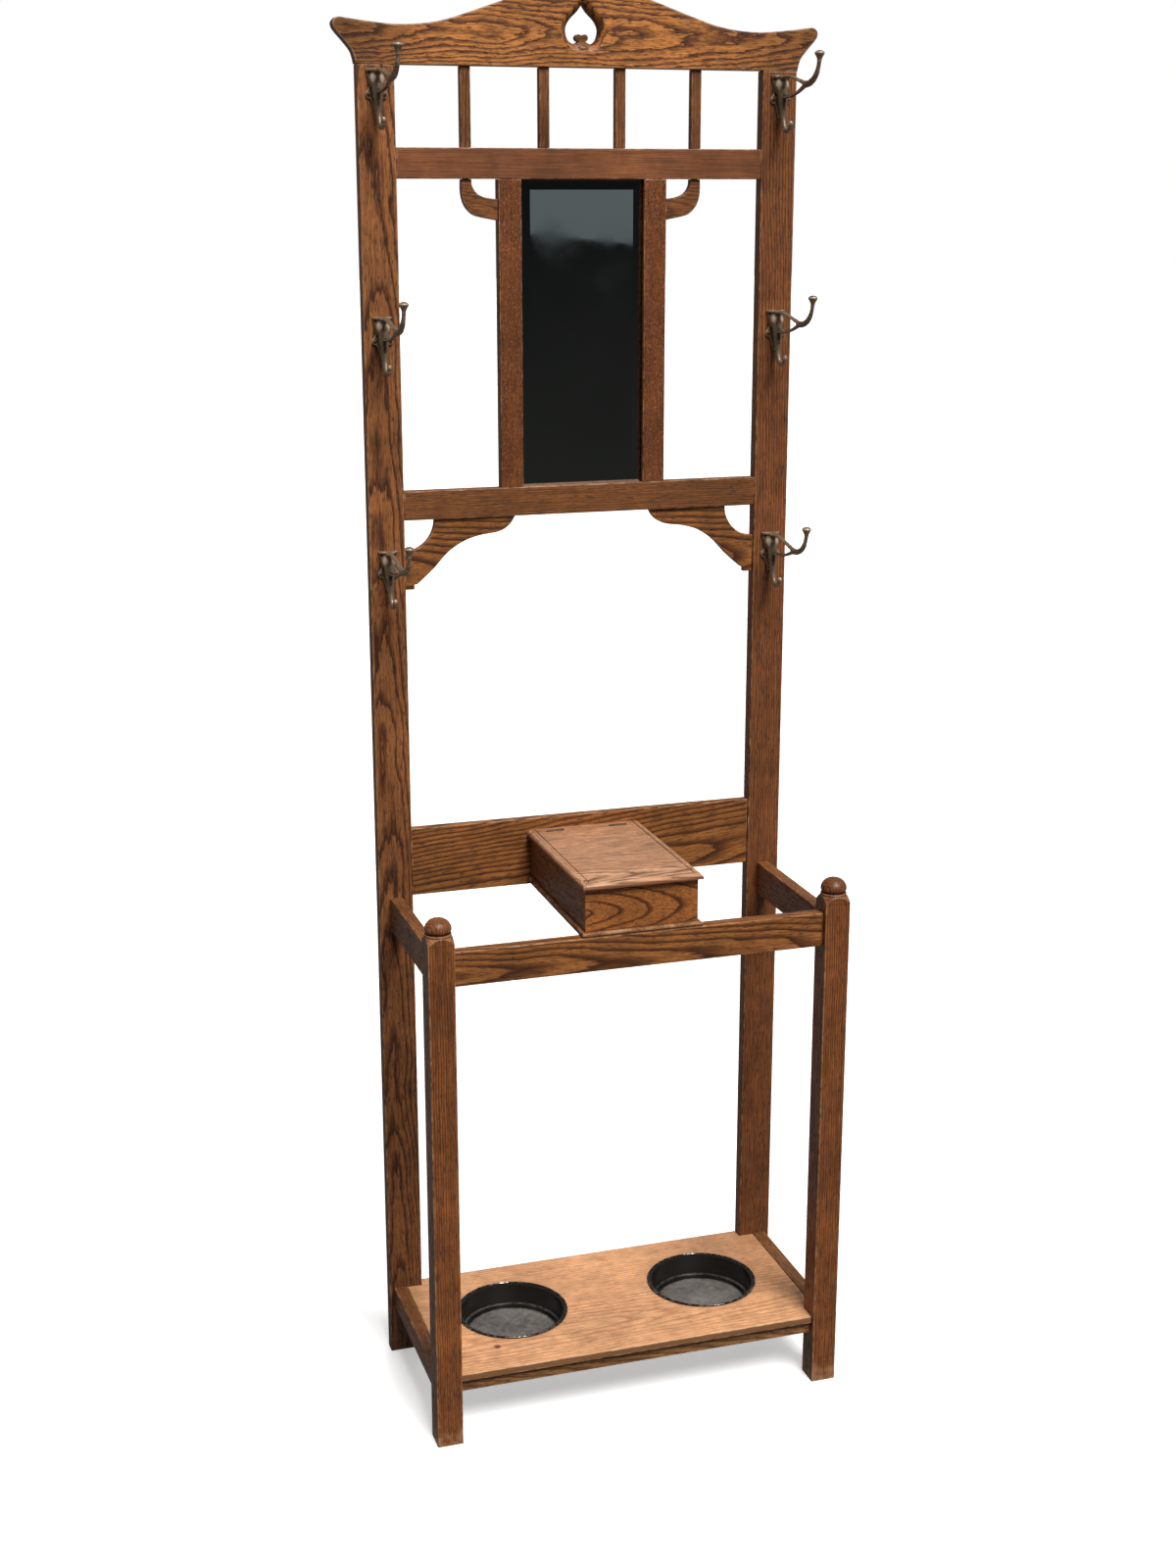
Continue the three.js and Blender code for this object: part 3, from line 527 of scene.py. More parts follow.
@dataclass(frozen=True)
class Grain:
    """Where a board lay in its log, which sets the figure on its show face.

    Attributes:
        along: The direction of the fibres.
        face: The direction that the show face looks in or away from.
        pith: Distance from the show face to the log's centre line, in metres.
        aside: How far the centre line lies to one side of the board's middle.
        lean: How fast the centre line leaves the board along its length.
        slant: How fast it drifts sideways, which slants the figure.
    """

    along: Axis
    face: Axis
    pith: float = 45 * MM
    aside: float = 0.0
    lean: float = 0.03
    slant: float = 0.0

    def lay(self, bm: BMesh, name: str) -> None:
        """Writes each vertex's place in the log to the attribute that the oak reads.

        Args:
            bm: The board.
            name: The board's name, which picks its own stretch of the log.
        """
        layer = bm.verts.layers.float_vector.new("grain")
        places = [v.co for v in bm.verts]
        centre = [(min(p[i] for p in places) + max(p[i] for p in places)) / 2 for i in range(3)]
        across = 3 - self.along - self.face
        start = (sum(ord(c) * (i + 3) for i, c in enumerate(name)) % 89) * 0.37
        for v in bm.verts:
            far = v.co[self.along] - centre[self.along]
            deep = v.co[self.face] - centre[self.face] + self.pith + self.lean * far
            side = v.co[across] - centre[across] + self.aside + self.slant * far
            v[layer] = (far + start, deep, side)


def add_block(bm: BMesh, lo: Vector, hi: Vector) -> list[BMFace]:
    """Adds a box between two corners.

    Args:
        bm: The mesh that gets the box.
        lo: Its lowest corner.
        hi: Its highest corner.

    Returns:
        The box's faces.
    """
    shape = Matrix.Translation((lo + hi) / 2) @ Matrix.Diagonal((*(hi - lo), 1.0))
    verts = bmesh.ops.create_cube(bm, size=1.0, matrix=shape)["verts"]
    return list({f for v in verts for f in v.link_faces})


def new_shape() -> BMesh:
    """Starts a bmesh that can say how worn each vertex is."""
    bm = bmesh.new()
    bm.verts.layers.float.new("wear")
    return bm


def saw(bm: BMesh, place: Sequence[float], normal: Sequence[float], off: bool = False) -> None:
    """Cuts a mesh along a plane.

    Args:
        bm: The mesh.
        place: A point on the plane.
        normal: The plane's direction.
        off: Whether what lies beyond comes off and the cut is closed.
    """
    bmesh.ops.bisect_plane(
        bm, geom=bm.verts[:] + bm.edges[:] + bm.faces[:], dist=1e-7, plane_co=place,
        plane_no=normal, clear_outer=off,
    )
    if off:
        bmesh.ops.holes_fill(bm, edges=[e for e in bm.edges if e.is_boundary], sides=0)


def thicken(bm: BMesh, faces: list[BMFace], way: Point) -> None:
    """Draws flat faces out to a solid.

    Args:
        bm: The mesh.
        faces: The flat faces.
        way: How far and in which direction they are drawn.
    """
    raised = bmesh.ops.extrude_face_region(bm, geom=faces)["geom"]
    verts = [v for v in raised if isinstance(v, bmesh.types.BMVert)]
    bmesh.ops.translate(bm, vec=way, verts=verts)


def soften(
    bm: BMesh, edges: Iterable[BMEdge], radius: float, fade: float,
    flat: Callable[[BMFace], bool] = lambda face: True,
) -> None:
    """Rounds arrises and marks them as worn, fading to nothing a little way in from the edge.

    Args:
        bm: The mesh.
        edges: The arrises to round.
        radius: How far the rounding reaches.
        fade: Width of the strip in which the wear fades, or 0 to keep it to the rounding.
        flat: Says whether a face beside the arrises may take the fading strip.
    """
    layer = bm.verts.layers.float["wear"]
    result = bmesh.ops.bevel(
        bm, geom=list(edges), offset=radius, offset_type="OFFSET", affect="EDGES", segments=3,
        profile=0.5, material=-1, clamp_overlap=True,
    )
    rounded = set(result["faces"])
    worn = {v for f in rounded for v in f.verts}
    for v in worn:
        v[layer] = 1.0 if fade or all(f in rounded for f in v.link_faces) else 0.0
    if fade:
        beside = {f for v in worn for f in v.link_faces} - rounded
        beside = [f for f in bm.faces if f in beside and flat(f)]
        bmesh.ops.inset_region(
            bm, faces=beside, thickness=fade, depth=0.0, use_boundary=True, use_even_offset=True
        )
        for v in {v for f in beside for v in f.verts}:
            v[layer] = 0.0


def merged_copy(node: str) -> BMesh:
    """Returns a copy of a CAD node with its triangles merged to whole faces."""
    bm = new_shape()
    bm.from_mesh(frame["nodes"][node].data)
    bmesh.ops.remove_doubles(bm, verts=bm.verts[:], dist=0.004 * MM)
    bmesh.ops.dissolve_limit(bm, angle_limit=math.radians(0.4), verts=bm.verts[:], edges=bm.edges[:])
    return bm


def outline_edges(bm: BMesh, axis: Axis, keep: Callable[[BMEdge], bool]) -> list[BMEdge]:
    """Finds the sharp arrises round a plate's two broad faces.

    Args:
        bm: The plate.
        axis: The direction of its thickness.
        keep: Says whether an arris is to be used.

    Returns:
        The arrises that lie on a broad face and stand out at more than 25 degrees.
    """
    ends = (min(v.co[axis] for v in bm.verts), max(v.co[axis] for v in bm.verts))
    found = []
    for e in bm.edges:
        on_face = any(all(abs(v.co[axis] - end) < 1e-5 for v in e.verts) for end in ends)
        if on_face and len(e.link_faces) == 2 and e.is_convex:
            if e.calc_face_angle(0.0) > math.radians(25) and keep(e):
                found.append(e)
    return found


def add_object(name: str, data: Any) -> Object:
    """Adds an object with this data to the scene, at the origin."""
    made = bpy.data.objects.new(name, data)
    bpy.context.scene.collection.objects.link(made)
    return made


def to_mesh_object(bm: BMesh, name: str) -> Object:
    """Turns a bmesh to an object at the origin and frees the bmesh."""
    mesh = bpy.data.meshes.new(name)
    bm.to_mesh(mesh)
    bm.free()
    return add_object(name, mesh)


def through_modifiers(made: Object) -> BMesh:
    """Returns an object's mesh with its modifiers applied, and removes the object."""
    bpy.context.view_layer.update()
    bm = new_shape()
    bm.from_mesh(made.evaluated_get(bpy.context.evaluated_depsgraph_get()).data)
    bpy.data.objects.remove(made)
    return bm


def place_piece(
    bm: BMesh, name: str, finish: Any, slot: str, *stands_for: str, sharp: float = 35.0
) -> Object:
    """Finishes a piece: mesh, material, and the body that its CAD node rides on.

    Args:
        bm: The finished shape, in its place.
        name: The piece's name.
        finish: The finish it is dressed in.
        slot: The record's material slot; not used.
        stands_for: The CAD nodes that it replaces.
        sharp: Faces that meet at more than this angle, in degrees, keep a sharp edge.

    Returns:
        The finished object.
    """
    made = to_mesh_object(bm, name)
    made.data.materials.append(finish.material())
    made.data.shade_smooth()
    made.data.set_sharp_from_angle(angle=math.radians(sharp))
    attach(made, frame["nodes"][stands_for[0]]["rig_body"])
    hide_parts(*stands_for)
    log.info("%s: %d faces, %s", name, len(made.data.polygons), finish.name)
    return made


def board(
    name: str, lo: Vector, hi: Vector, grain: Grain, finish: OakFinish, stands_for: str,
    radius: float = 1.0 * MM, slot: str = "oak",
) -> Object:
    """Makes a straight board with rounded, worn arrises.

    Args:
        name: The piece's name.
        lo: Its lowest corner.
        hi: Its highest corner.
        grain: Where it lay in its log.
        finish: Its oak finish.
        stands_for: The CAD node that it replaces.
        radius: Rounding of its arrises.
        slot: The record's material slot.

    Returns:
        The finished object.
    """
    bm = new_shape()
    add_block(bm, lo, hi)
    soften(bm, bm.edges[:], radius, 2.2 * MM)
    grain.lay(bm, name)
    return place_piece(bm, name, finish, slot, stands_for)


def turned(profile: Sequence[Pair], steps: int) -> BMesh:
    """Turns a profile about the upright axis.

    Args:
        profile: Radius and height of each point.
        steps: How many flats make the full turn.

    Returns:
        The turned body, closed where the profile starts and ends on the axis.
    """
    bm = new_shape()
    verts = [bm.verts.new((r, 0.0, z)) for r, z in profile]
    edges = [bm.edges.new(pair) for pair in zip(verts, verts[1:])]
    bmesh.ops.spin(
        bm, geom=verts + edges, cent=(0, 0, 0), axis=(0, 0, 1), angle=math.tau, steps=steps,
        use_merge=True,
    )
    bmesh.ops.remove_doubles(bm, verts=bm.verts[:], dist=HAIR)
    bmesh.ops.recalc_face_normals(bm, faces=bm.faces[:])
    return bm


# ---- sub-assemblies


@dataclass
class BackFrame:
    """The tall back: two posts, the crest on its slats, two rails, brackets and the low panel."""

    arris: float = 1.0 * MM
    crest_arris: float = 1.6 * MM

    def build(self) -> None:
        """Makes every piece of the back."""
        self.posts()
        self.crest()
        self.rails()
        self.slats()
        self.brackets()

    def posts(self) -> None:
        """Makes the two posts that run from the floor to the crest."""
        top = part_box("crest_board")[0].z - GAP
        for side, finish in zip(SIDES, (LEFT_POST_OAK, RIGHT_POST_OAK)):
            lo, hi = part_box(f"back_post_{side}")
            hi.z = top
            pith = 52 * MM if side == "left" else 30 * MM
            aside = 4 * MM if side == "left" else 60 * MM
            grain = Grain(Z, Y, pith=pith, aside=aside, lean=0.034)
            board(f"post_{side}", lo, hi, grain, finish, f"back_post_{side}", self.arris)

    def crest(self) -> None:
        """Makes the crest with its rounded horns and the pierced heart."""
        bm = merged_copy("crest_board")
        low = min(v.co.z for v in bm.verts)

        def plain(e: BMEdge) -> bool:
            """Leaves out the small stalk and lobes inside the heart."""
            middle = (e.verts[0].co + e.verts[1].co) / 2
            return abs(middle.x) > 12 * MM or middle.z > low + 52 * MM or middle.z < low + 20 * MM

        soften(bm, outline_edges(bm, Y, plain), self.crest_arris, 2.0 * MM)
        face = min(v.co.y for v in bm.verts)
        layer = bm.verts.layers.float["wear"]
        for v in bm.verts:
            if abs(v.co.x) < 36 * MM and 10 * MM < v.co.z - low < 90 * MM:  # round the heart
                # Painted shade: the sloping walls inside the heart get negative wear and are drawn
                # dark; the heart's front arris is worn less.
                v[layer] = -0.7 if v.co.y > face + 6 * MM else 0.35 * v[layer]
        Grain(X, Y, pith=34 * MM, lean=0.05).lay(bm, "crest")
        place_piece(bm, "crest", CREST_OAK, "crest_oak", "crest_board")

    def rails(self) -> None:
        """Makes the rails and the low panel between the posts."""
        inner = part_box("back_post_right")[0].x - GAP
        lays = {
            "upper_rail": (Grain(X, Y, pith=40 * MM, aside=70 * MM, lean=0.01), UPPER_RAIL_OAK),
            "mid_rail": (Grain(X, Y, pith=36 * MM, aside=60 * MM, lean=0.02), RAIL_OAK),
            "lower_back_panel": (
                Grain(X, Y, pith=38 * MM, aside=36 * MM, lean=0.03, slant=-0.12), PANEL_OAK,
            ),
            "lower_back_rail": (Grain(X, Y, pith=50 * MM, lean=0.02), RAIL_OAK),
        }
        for node, (grain, finish) in lays.items():
            lo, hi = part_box(node)
            lo.x, hi.x = -inner, inner
            board(f"{node}_board", lo, hi, grain, finish, node, self.arris)

    def slats(self) -> None:
        """Makes the four slats between the upper rail and the crest."""
        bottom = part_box("upper_rail")[1].z + GAP
        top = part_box("crest_board")[0].z - GAP
        for number in range(1, 5):
            lo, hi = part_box(f"slat_{number}")
            lo.z, hi.z = bottom, top
            grain = Grain(Z, Y, pith=40 * MM, aside=(number - 2) * 25 * MM)
            board(f"slat_{number}_bar", lo, hi, grain, RAIL_OAK, f"slat_{number}", 0.8 * MM)

    def brackets(self) -> None:
        """Makes the swan necks under the slats and the knee brackets under the middle rail."""
        for side in SIDES:
            for kind in ("swan_neck", "knee_bracket"):
                bm = merged_copy(f"{kind}_{side}")
                soften(bm, outline_edges(bm, Y, lambda e: True), 0.8 * MM, 1.8 * MM)
                finish = PANEL_OAK if kind == "knee_bracket" else RAIL_OAK
                Grain(X, Y, pith=40 * MM, aside=20 * MM, lean=0.08).lay(bm, kind + side)
                place_piece(bm, f"{kind}_{side}_plate", finish, "oak", f"{kind}_{side}")


@dataclass
class Mirror:
    """The bevelled mirror, its two stiles and the thin board behind it."""

    bevel_wide: float = 20 * MM
    bevel_deep: float = 2.4 * MM

    def build(self) -> None:
        """Makes the stiles, the glass and the backboard."""
        for side in SIDES:
            bm = merged_copy(f"mirror_stile_{side}")
            soften(bm, outline_edges(bm, Y, lambda e: True), 0.8 * MM, 1.8 * MM)
            Grain(Z, Y, pith=8 * MM, aside=140 * MM, lean=0.01).lay(bm, "stile" + side)
            place_piece(bm, f"stile_{side}", STILE_OAK, "oak", f"mirror_stile_{side}")
        self.glass()
        lo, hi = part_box("mirror_backboard")
        board(
            "backboard", lo, hi, Grain(Z, Y, pith=60 * MM, lean=0.04), BACKBOARD_WOOD,
            "mirror_backboard", 0.5 * MM, "backboard_wood",
        )

    def glass(self) -> None:
        """Makes the plate with its wide, shallow bevel."""
        lo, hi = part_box("mirror_glass")
        bm = new_shape()
        front = min(add_block(bm, lo, hi), key=lambda f: f.calc_center_median().y)
        bmesh.ops.inset_region(
            bm, faces=[front], thickness=self.bevel_wide, depth=0.0, use_boundary=True,
            use_even_offset=True,
        )
        layer = bm.verts.layers.float["wear"]
        for v in bm.verts:
            at_rim = abs(v.co.x) > hi.x - 1 * MM or not lo.z + MM < v.co.z < hi.z - MM
            v[layer] = 1.0 if at_rim else 0.0
            if at_rim and v.co.y < lo.y + 0.1 * MM:
                v.co.y += self.bevel_deep
        place_piece(bm, "mirror_plate", SilveredGlass(), "mirror_glass", "mirror_glass", sharp=2.0)


@dataclass
class UmbrellaStand:
    """The railed stand: two turned legs, the rails round the bays and the shelf."""

    arris: float = 1.2 * MM
    leg_arris: float = 1.4 * MM
    shoulder: float = 52 * MM
    foot: float = 70 * MM

    def build(self) -> None:
        """Makes the legs, the rails and the shelf."""
        for side in SIDES:
            self.leg(side)
        self.rails()
        self.shelf()

    def leg(self, side: str) -> None:
        """Makes one leg: turned at the top, then sawn square, so the shoulders form arches.

        Args:
            side: "left" or "right".
        """
        lo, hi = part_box(f"front_leg_{side}")
        wide = hi.x - lo.x
        shape = (
            (0.882, -45.0), (0.75, -38.0), (0.68, -33.6), (0.62, -30.2), (0.56, -27.3),
            (0.52, -25.6), (0.49, -24.9), (0.478, -24.2), (0.486, -23.6), (0.496, -22.8),
            (0.497, -21.9), (0.485, -21.2), (0.45, -20.7), (0.428, -20.2), (0.426, -19.3),
            (0.445, -18.6), (0.478, -17.6), (0.495, -16.0), (0.497, -14.0), (0.483, -11.4),
            (0.45, -8.5), (0.398, -5.7), (0.328, -3.3), (0.24, -1.5), (0.13, -0.4), (0.0, 0.0),
        )
        profile = [(0.0, lo.z), (0.882 * wide, lo.z)]
        profile += [(r * wide, hi.z + drop * MM) for r, drop in shape]
        bm = turned(profile, 64)
        middle = (lo + hi) / 2
        bmesh.ops.translate(bm, vec=(middle.x, middle.y, 0), verts=bm.verts[:])
        for corner, way in ((lo, -1.0), (hi, 1.0)):
            saw(bm, corner, (way, 0, 0), off=True)
            saw(bm, corner, (0, way, 0), off=True)
        bmesh.ops.recalc_face_normals(bm, faces=bm.faces[:])
        for height in (hi.z - self.shoulder, lo.z + self.foot, lo.z + 0.3 * self.foot):
            saw(bm, (0, 0, height), (0, 0, 1))
        corners = [
            e for e in bm.edges
            if all(abs(abs(v.co.x - middle.x) - wide / 2) < 1e-5 for v in e.verts)
            and all(abs(abs(v.co.y - middle.y) - wide / 2) < 1e-5 for v in e.verts)
            and (e.verts[0].co - e.verts[1].co).xy.length < 1e-5
        ]
        layer = bm.verts.layers.float["wear"]
        for v in bm.verts:
            drop = (v.co.z - hi.z) / MM
            if -44 < drop < -24.5:
                v[layer] = 0.9
            elif -24.0 < drop < -21.0:
                v[layer] = 1.0
            elif -24.5 <= drop <= -24.0 or -21.0 <= drop < -18.8:
                # The two narrow coves under the bead get negative wear: grime and painted shade in the
                # hollows.
                v[layer] = -1.0
        soften(
            bm, corners, self.leg_arris, 1.6 * MM,
            lambda f: max(abs(f.normal.x), abs(f.normal.y)) > 0.999,
        )
        for v in bm.verts:
            foot = 1.1 * (1 - (v.co.z - lo.z) / self.foot)
            v[layer] = max(v[layer], foot) if foot > 0 else v[layer]
        Grain(Z, Y, pith=24 * MM, aside=48 * MM, lean=0.02).lay(bm, "leg" + side)
        place_piece(bm, f"leg_{side}", LEG_OAK, "oak", f"front_leg_{side}")

    def rails(self) -> None:
        """Makes the rails at the top and the bottom of the stand."""
        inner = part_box("front_leg_right")[0].x - GAP
        y0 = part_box("front_leg_right")[1].y + GAP
        y1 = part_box("back_post_right")[0].y - GAP
        for node, finish in (("front_rail", PANEL_OAK), ("lower_front_rail", LOWER_RAIL_OAK)):
            lo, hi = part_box(node)
            lo.x, hi.x = -inner, inner
            grain = Grain(X, Y, pith=30 * MM, aside=10 * MM, lean=0.05, slant=0.03)
            board(f"{node}_board", lo, hi, grain, finish, node, self.arris)
        for side in SIDES:
            for node in (f"side_rail_{side}", f"lower_side_rail_{side}"):
                lo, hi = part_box(node)
                lo.y, hi.y = y0, y1
                grain = Grain(Y, X, pith=42 * MM, aside=30 * MM, lean=0.04)
                board(f"{node}_board", lo, hi, grain, RAIL_OAK, node, self.arris)

    def shelf(self) -> None:
        """Makes the shelf, cut round the legs and the posts and pierced for the pans."""
        bm = merged_copy("shelf_board")
        soften(bm, outline_edges(bm, Z, lambda e: True), self.arris, 2.2 * MM)
        Grain(X, Z, pith=45 * MM, aside=60 * MM, lean=0.03).lay(bm, "shelf")
        place_piece(bm, "shelf", SHELF_OAK, "worn_oak", "shelf_board")


@dataclass
class DripPans:
    """The two japanned tin pans that catch the drips from wet umbrellas."""

    sheet: float = 1.2 * MM
    bead: float = 1.5 * MM
    step: float = 6.0 * MM

    def build(self) -> None:
        """Makes both pans, which ride on their own bodies."""
        for side in SIDES:
            lo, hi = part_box(f"drip_pan_{side}")
            rim = (hi.x - lo.x) / 2
            wall = rim - 5 * MM
            z0, top = lo.z, hi.z
            # Radius in from the wall and height over the floor's underside, up the outside.
            outside = ((10, 0), (8.4, 1.2), (7.8, 4.6), (6.4, 6), (3.2, 6.5), (1.6, 8))
            profile = [(0.0, z0)] + [(wall - r * MM, z0 + up * MM) for r, up in outside]
            profile.append((wall - 0.2 * MM, top - 3.2 * MM))
            for turn in range(-75, 181, 15):
                x, y = math.cos(math.radians(turn)), math.sin(math.radians(turn))
                profile.append((rim + self.bead * (x - 1), top + self.bead * (y - 1)))
            profile.append((wall - self.sheet - 0.4 * MM, top - 2.6 * MM))
            inside = ((3.2, 8.4), (4.8, 7.2), (7.8, 6.8), (9.2, 4.4), (10.4, 1.8), (13.2, 1.2))
            profile += [(wall - r * MM, z0 + up * MM) for r, up in inside]
            profile += [(wall * 0.5, z0 + self.sheet), (0.0, z0 + self.sheet)]
            bm = turned(profile, 96)
            middle = (lo + hi) / 2
            dust = bm.verts.layers.float.new("dust")
            worn = bm.verts.layers.float["wear"]
            for v in bm.verts:
                out = math.hypot(v.co.x, v.co.y)
                v[worn] = 1.0 if v.co.z > top - 1.2 * MM else 0.0
                if v.co.z < z0 + 2 * MM:
                    v[dust] = 1.0 if out < wall - 12 * MM else 0.45
                elif abs(v.co.z - z0 - self.step) < 1.5 * MM:
                    v[dust] = 0.6
                    v[worn] = 0.8
            bmesh.ops.translate(bm, vec=(middle.x, middle.y, 0), verts=bm.verts[:])
            place_piece(bm, f"pan_{side}", JapannedTin(), "japanned_tin", f"drip_pan_{side}")


@dataclass
class GloveBox:
    """The small lidded box that spans the stand between the two bays."""

    quirk_in: float = 10.5 * MM
    quirk_wide: float = 1.2 * MM
    quirk_deep: float = 1.6 * MM
    nose: float = 7.4 * MM
    lid_top: float = 70.2 * MM  # over the base moulding
    spare: float = 60 * MM  # sawn off again behind the mouldings
    rubbed: float = 35 * MM  # how far in from the front the lid is rubbed pale

    def build(self) -> None:
        """Makes the box's sides, base moulding, lid and fixed strip, and dresses the hinges in brass.
        """
        for node in ("box_front", "box_back", "box_side_left", "box_side_right"):
            self.wall(node)
        self.base()
        self.lid_board("box_lid", "lid", moulded_front=True)
        self.lid_board("lid_strip", "lid_back_strip", moulded_front=False)
        for side in SIDES:
            for leaf in ("fixed", "lid"):
                slots = frame["nodes"][f"hinge_{leaf}_leaf_{side}"].material_slots
                slots[0].material = HINGE_BRASS.material()

    def wall(self, node: str) -> None:
        """Makes one of the four walls.

        Args:
            node: The CAD node of the wall.
        """
        lo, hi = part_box(node)
        if "side" in node:
            lo.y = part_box("box_front")[1].y + GAP
            grain, finish = Grain(Y, X, pith=45 * MM, aside=40 * MM), RAIL_OAK
        elif node == "box_front":
            grain, finish = Grain(X, Y, pith=26 * MM, lean=0.22), FRONT_OAK
        else:
            grain, finish = Grain(X, Y, pith=40 * MM), RAIL_OAK
        board(f"{node}_wall", lo, hi, grain, finish, node, 0.7 * MM)

    def base(self) -> None:
        """Makes the base, whose upper arris is rounded to a small moulding."""
        lo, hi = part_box("box_base")
        bm = new_shape()
        add_block(bm, lo, hi)
        upper = [e for e in bm.edges if all(v.co.z > hi.z - HAIR for v in e.verts)]
        soften(bm, upper, 3.4 * MM, 2.0 * MM)
        Grain(Y, Z, pith=40 * MM).lay(bm, "box_base")
        place_piece(bm, "box_base_moulding", RAIL_OAK, "oak", "box_base")

    def lid_board(self, node: str, name: str, moulded_front: bool) -> None:
        """Makes the lid or the strip behind it, with a rounded nose and a quirk.

        Args:
            node: The CAD node.
            name: The piece's name.
            moulded_front: True for the lid, whose moulding also runs across its front.
        """
        lo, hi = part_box(node)
        hi.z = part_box("box_base")[1].z + self.lid_top
        front = lo.y if moulded_front else lo.y - self.spare
        bm = new_shape()
        add_block(bm, Vector((lo.x, front, lo.z)), Vector((hi.x, hi.y + self.spare, hi.z)))
        top = max(bm.faces, key=lambda f: f.calc_center_median().z)
        down, up = -self.quirk_deep, self.quirk_deep - 0.2 * MM
        for wide, depth in ((self.quirk_in, 0.0), (self.quirk_wide, down), (self.quirk_wide, up)):
            bmesh.ops.inset_region(
                bm, faces=[top], thickness=wide, depth=depth, use_boundary=True, use_even_offset=True
            )
        rim = [
            e for e in bm.edges
            if all(v.co.z > hi.z - HAIR for v in e.verts) and e.calc_face_angle(0.0) > 1.0
            and (abs(e.verts[0].co.x) > hi.x - HAIR or e.verts[0].co.y < front + HAIR)
        ]
        soften(bm, rim, self.nose, 0.0)
        layer = bm.verts.layers.float["wear"]
        for v in bm.verts:
            drop = hi.z - v.co.z
            if abs(drop - self.quirk_deep) < 0.1 * MM:
                # Painted shade: the bottom of the quirk gets negative wear, which draws it as a dark
                # line together with grime.
                v[layer] = -1.0
            elif drop > 1.8 * MM:
                v[layer] = 0.0
        saw(bm, (0, lo.y, 0), (0, -1, 0), off=True)
        saw(bm, (0, hi.y, 0), (0, 1, 0), off=True)
        bmesh.ops.recalc_face_normals(bm, faces=bm.faces[:])
        for place, wear in ((lo.y + self.rubbed, 0.95), (lo.y + 2 * self.rubbed, 0.0)):
            saw(bm, (0, place, 0), (0, 1, 0))
            for v in bm.verts:
                if moulded_front and v.co.z > hi.z - 0.3 * MM and abs(v.co.y - place) < HAIR:
                    v[layer] = wear
        Grain(X, Z, pith=42 * MM, aside=95 * MM, lean=0.05).lay(bm, name)
        place_piece(bm, name, LID_OAK, "oak", node)


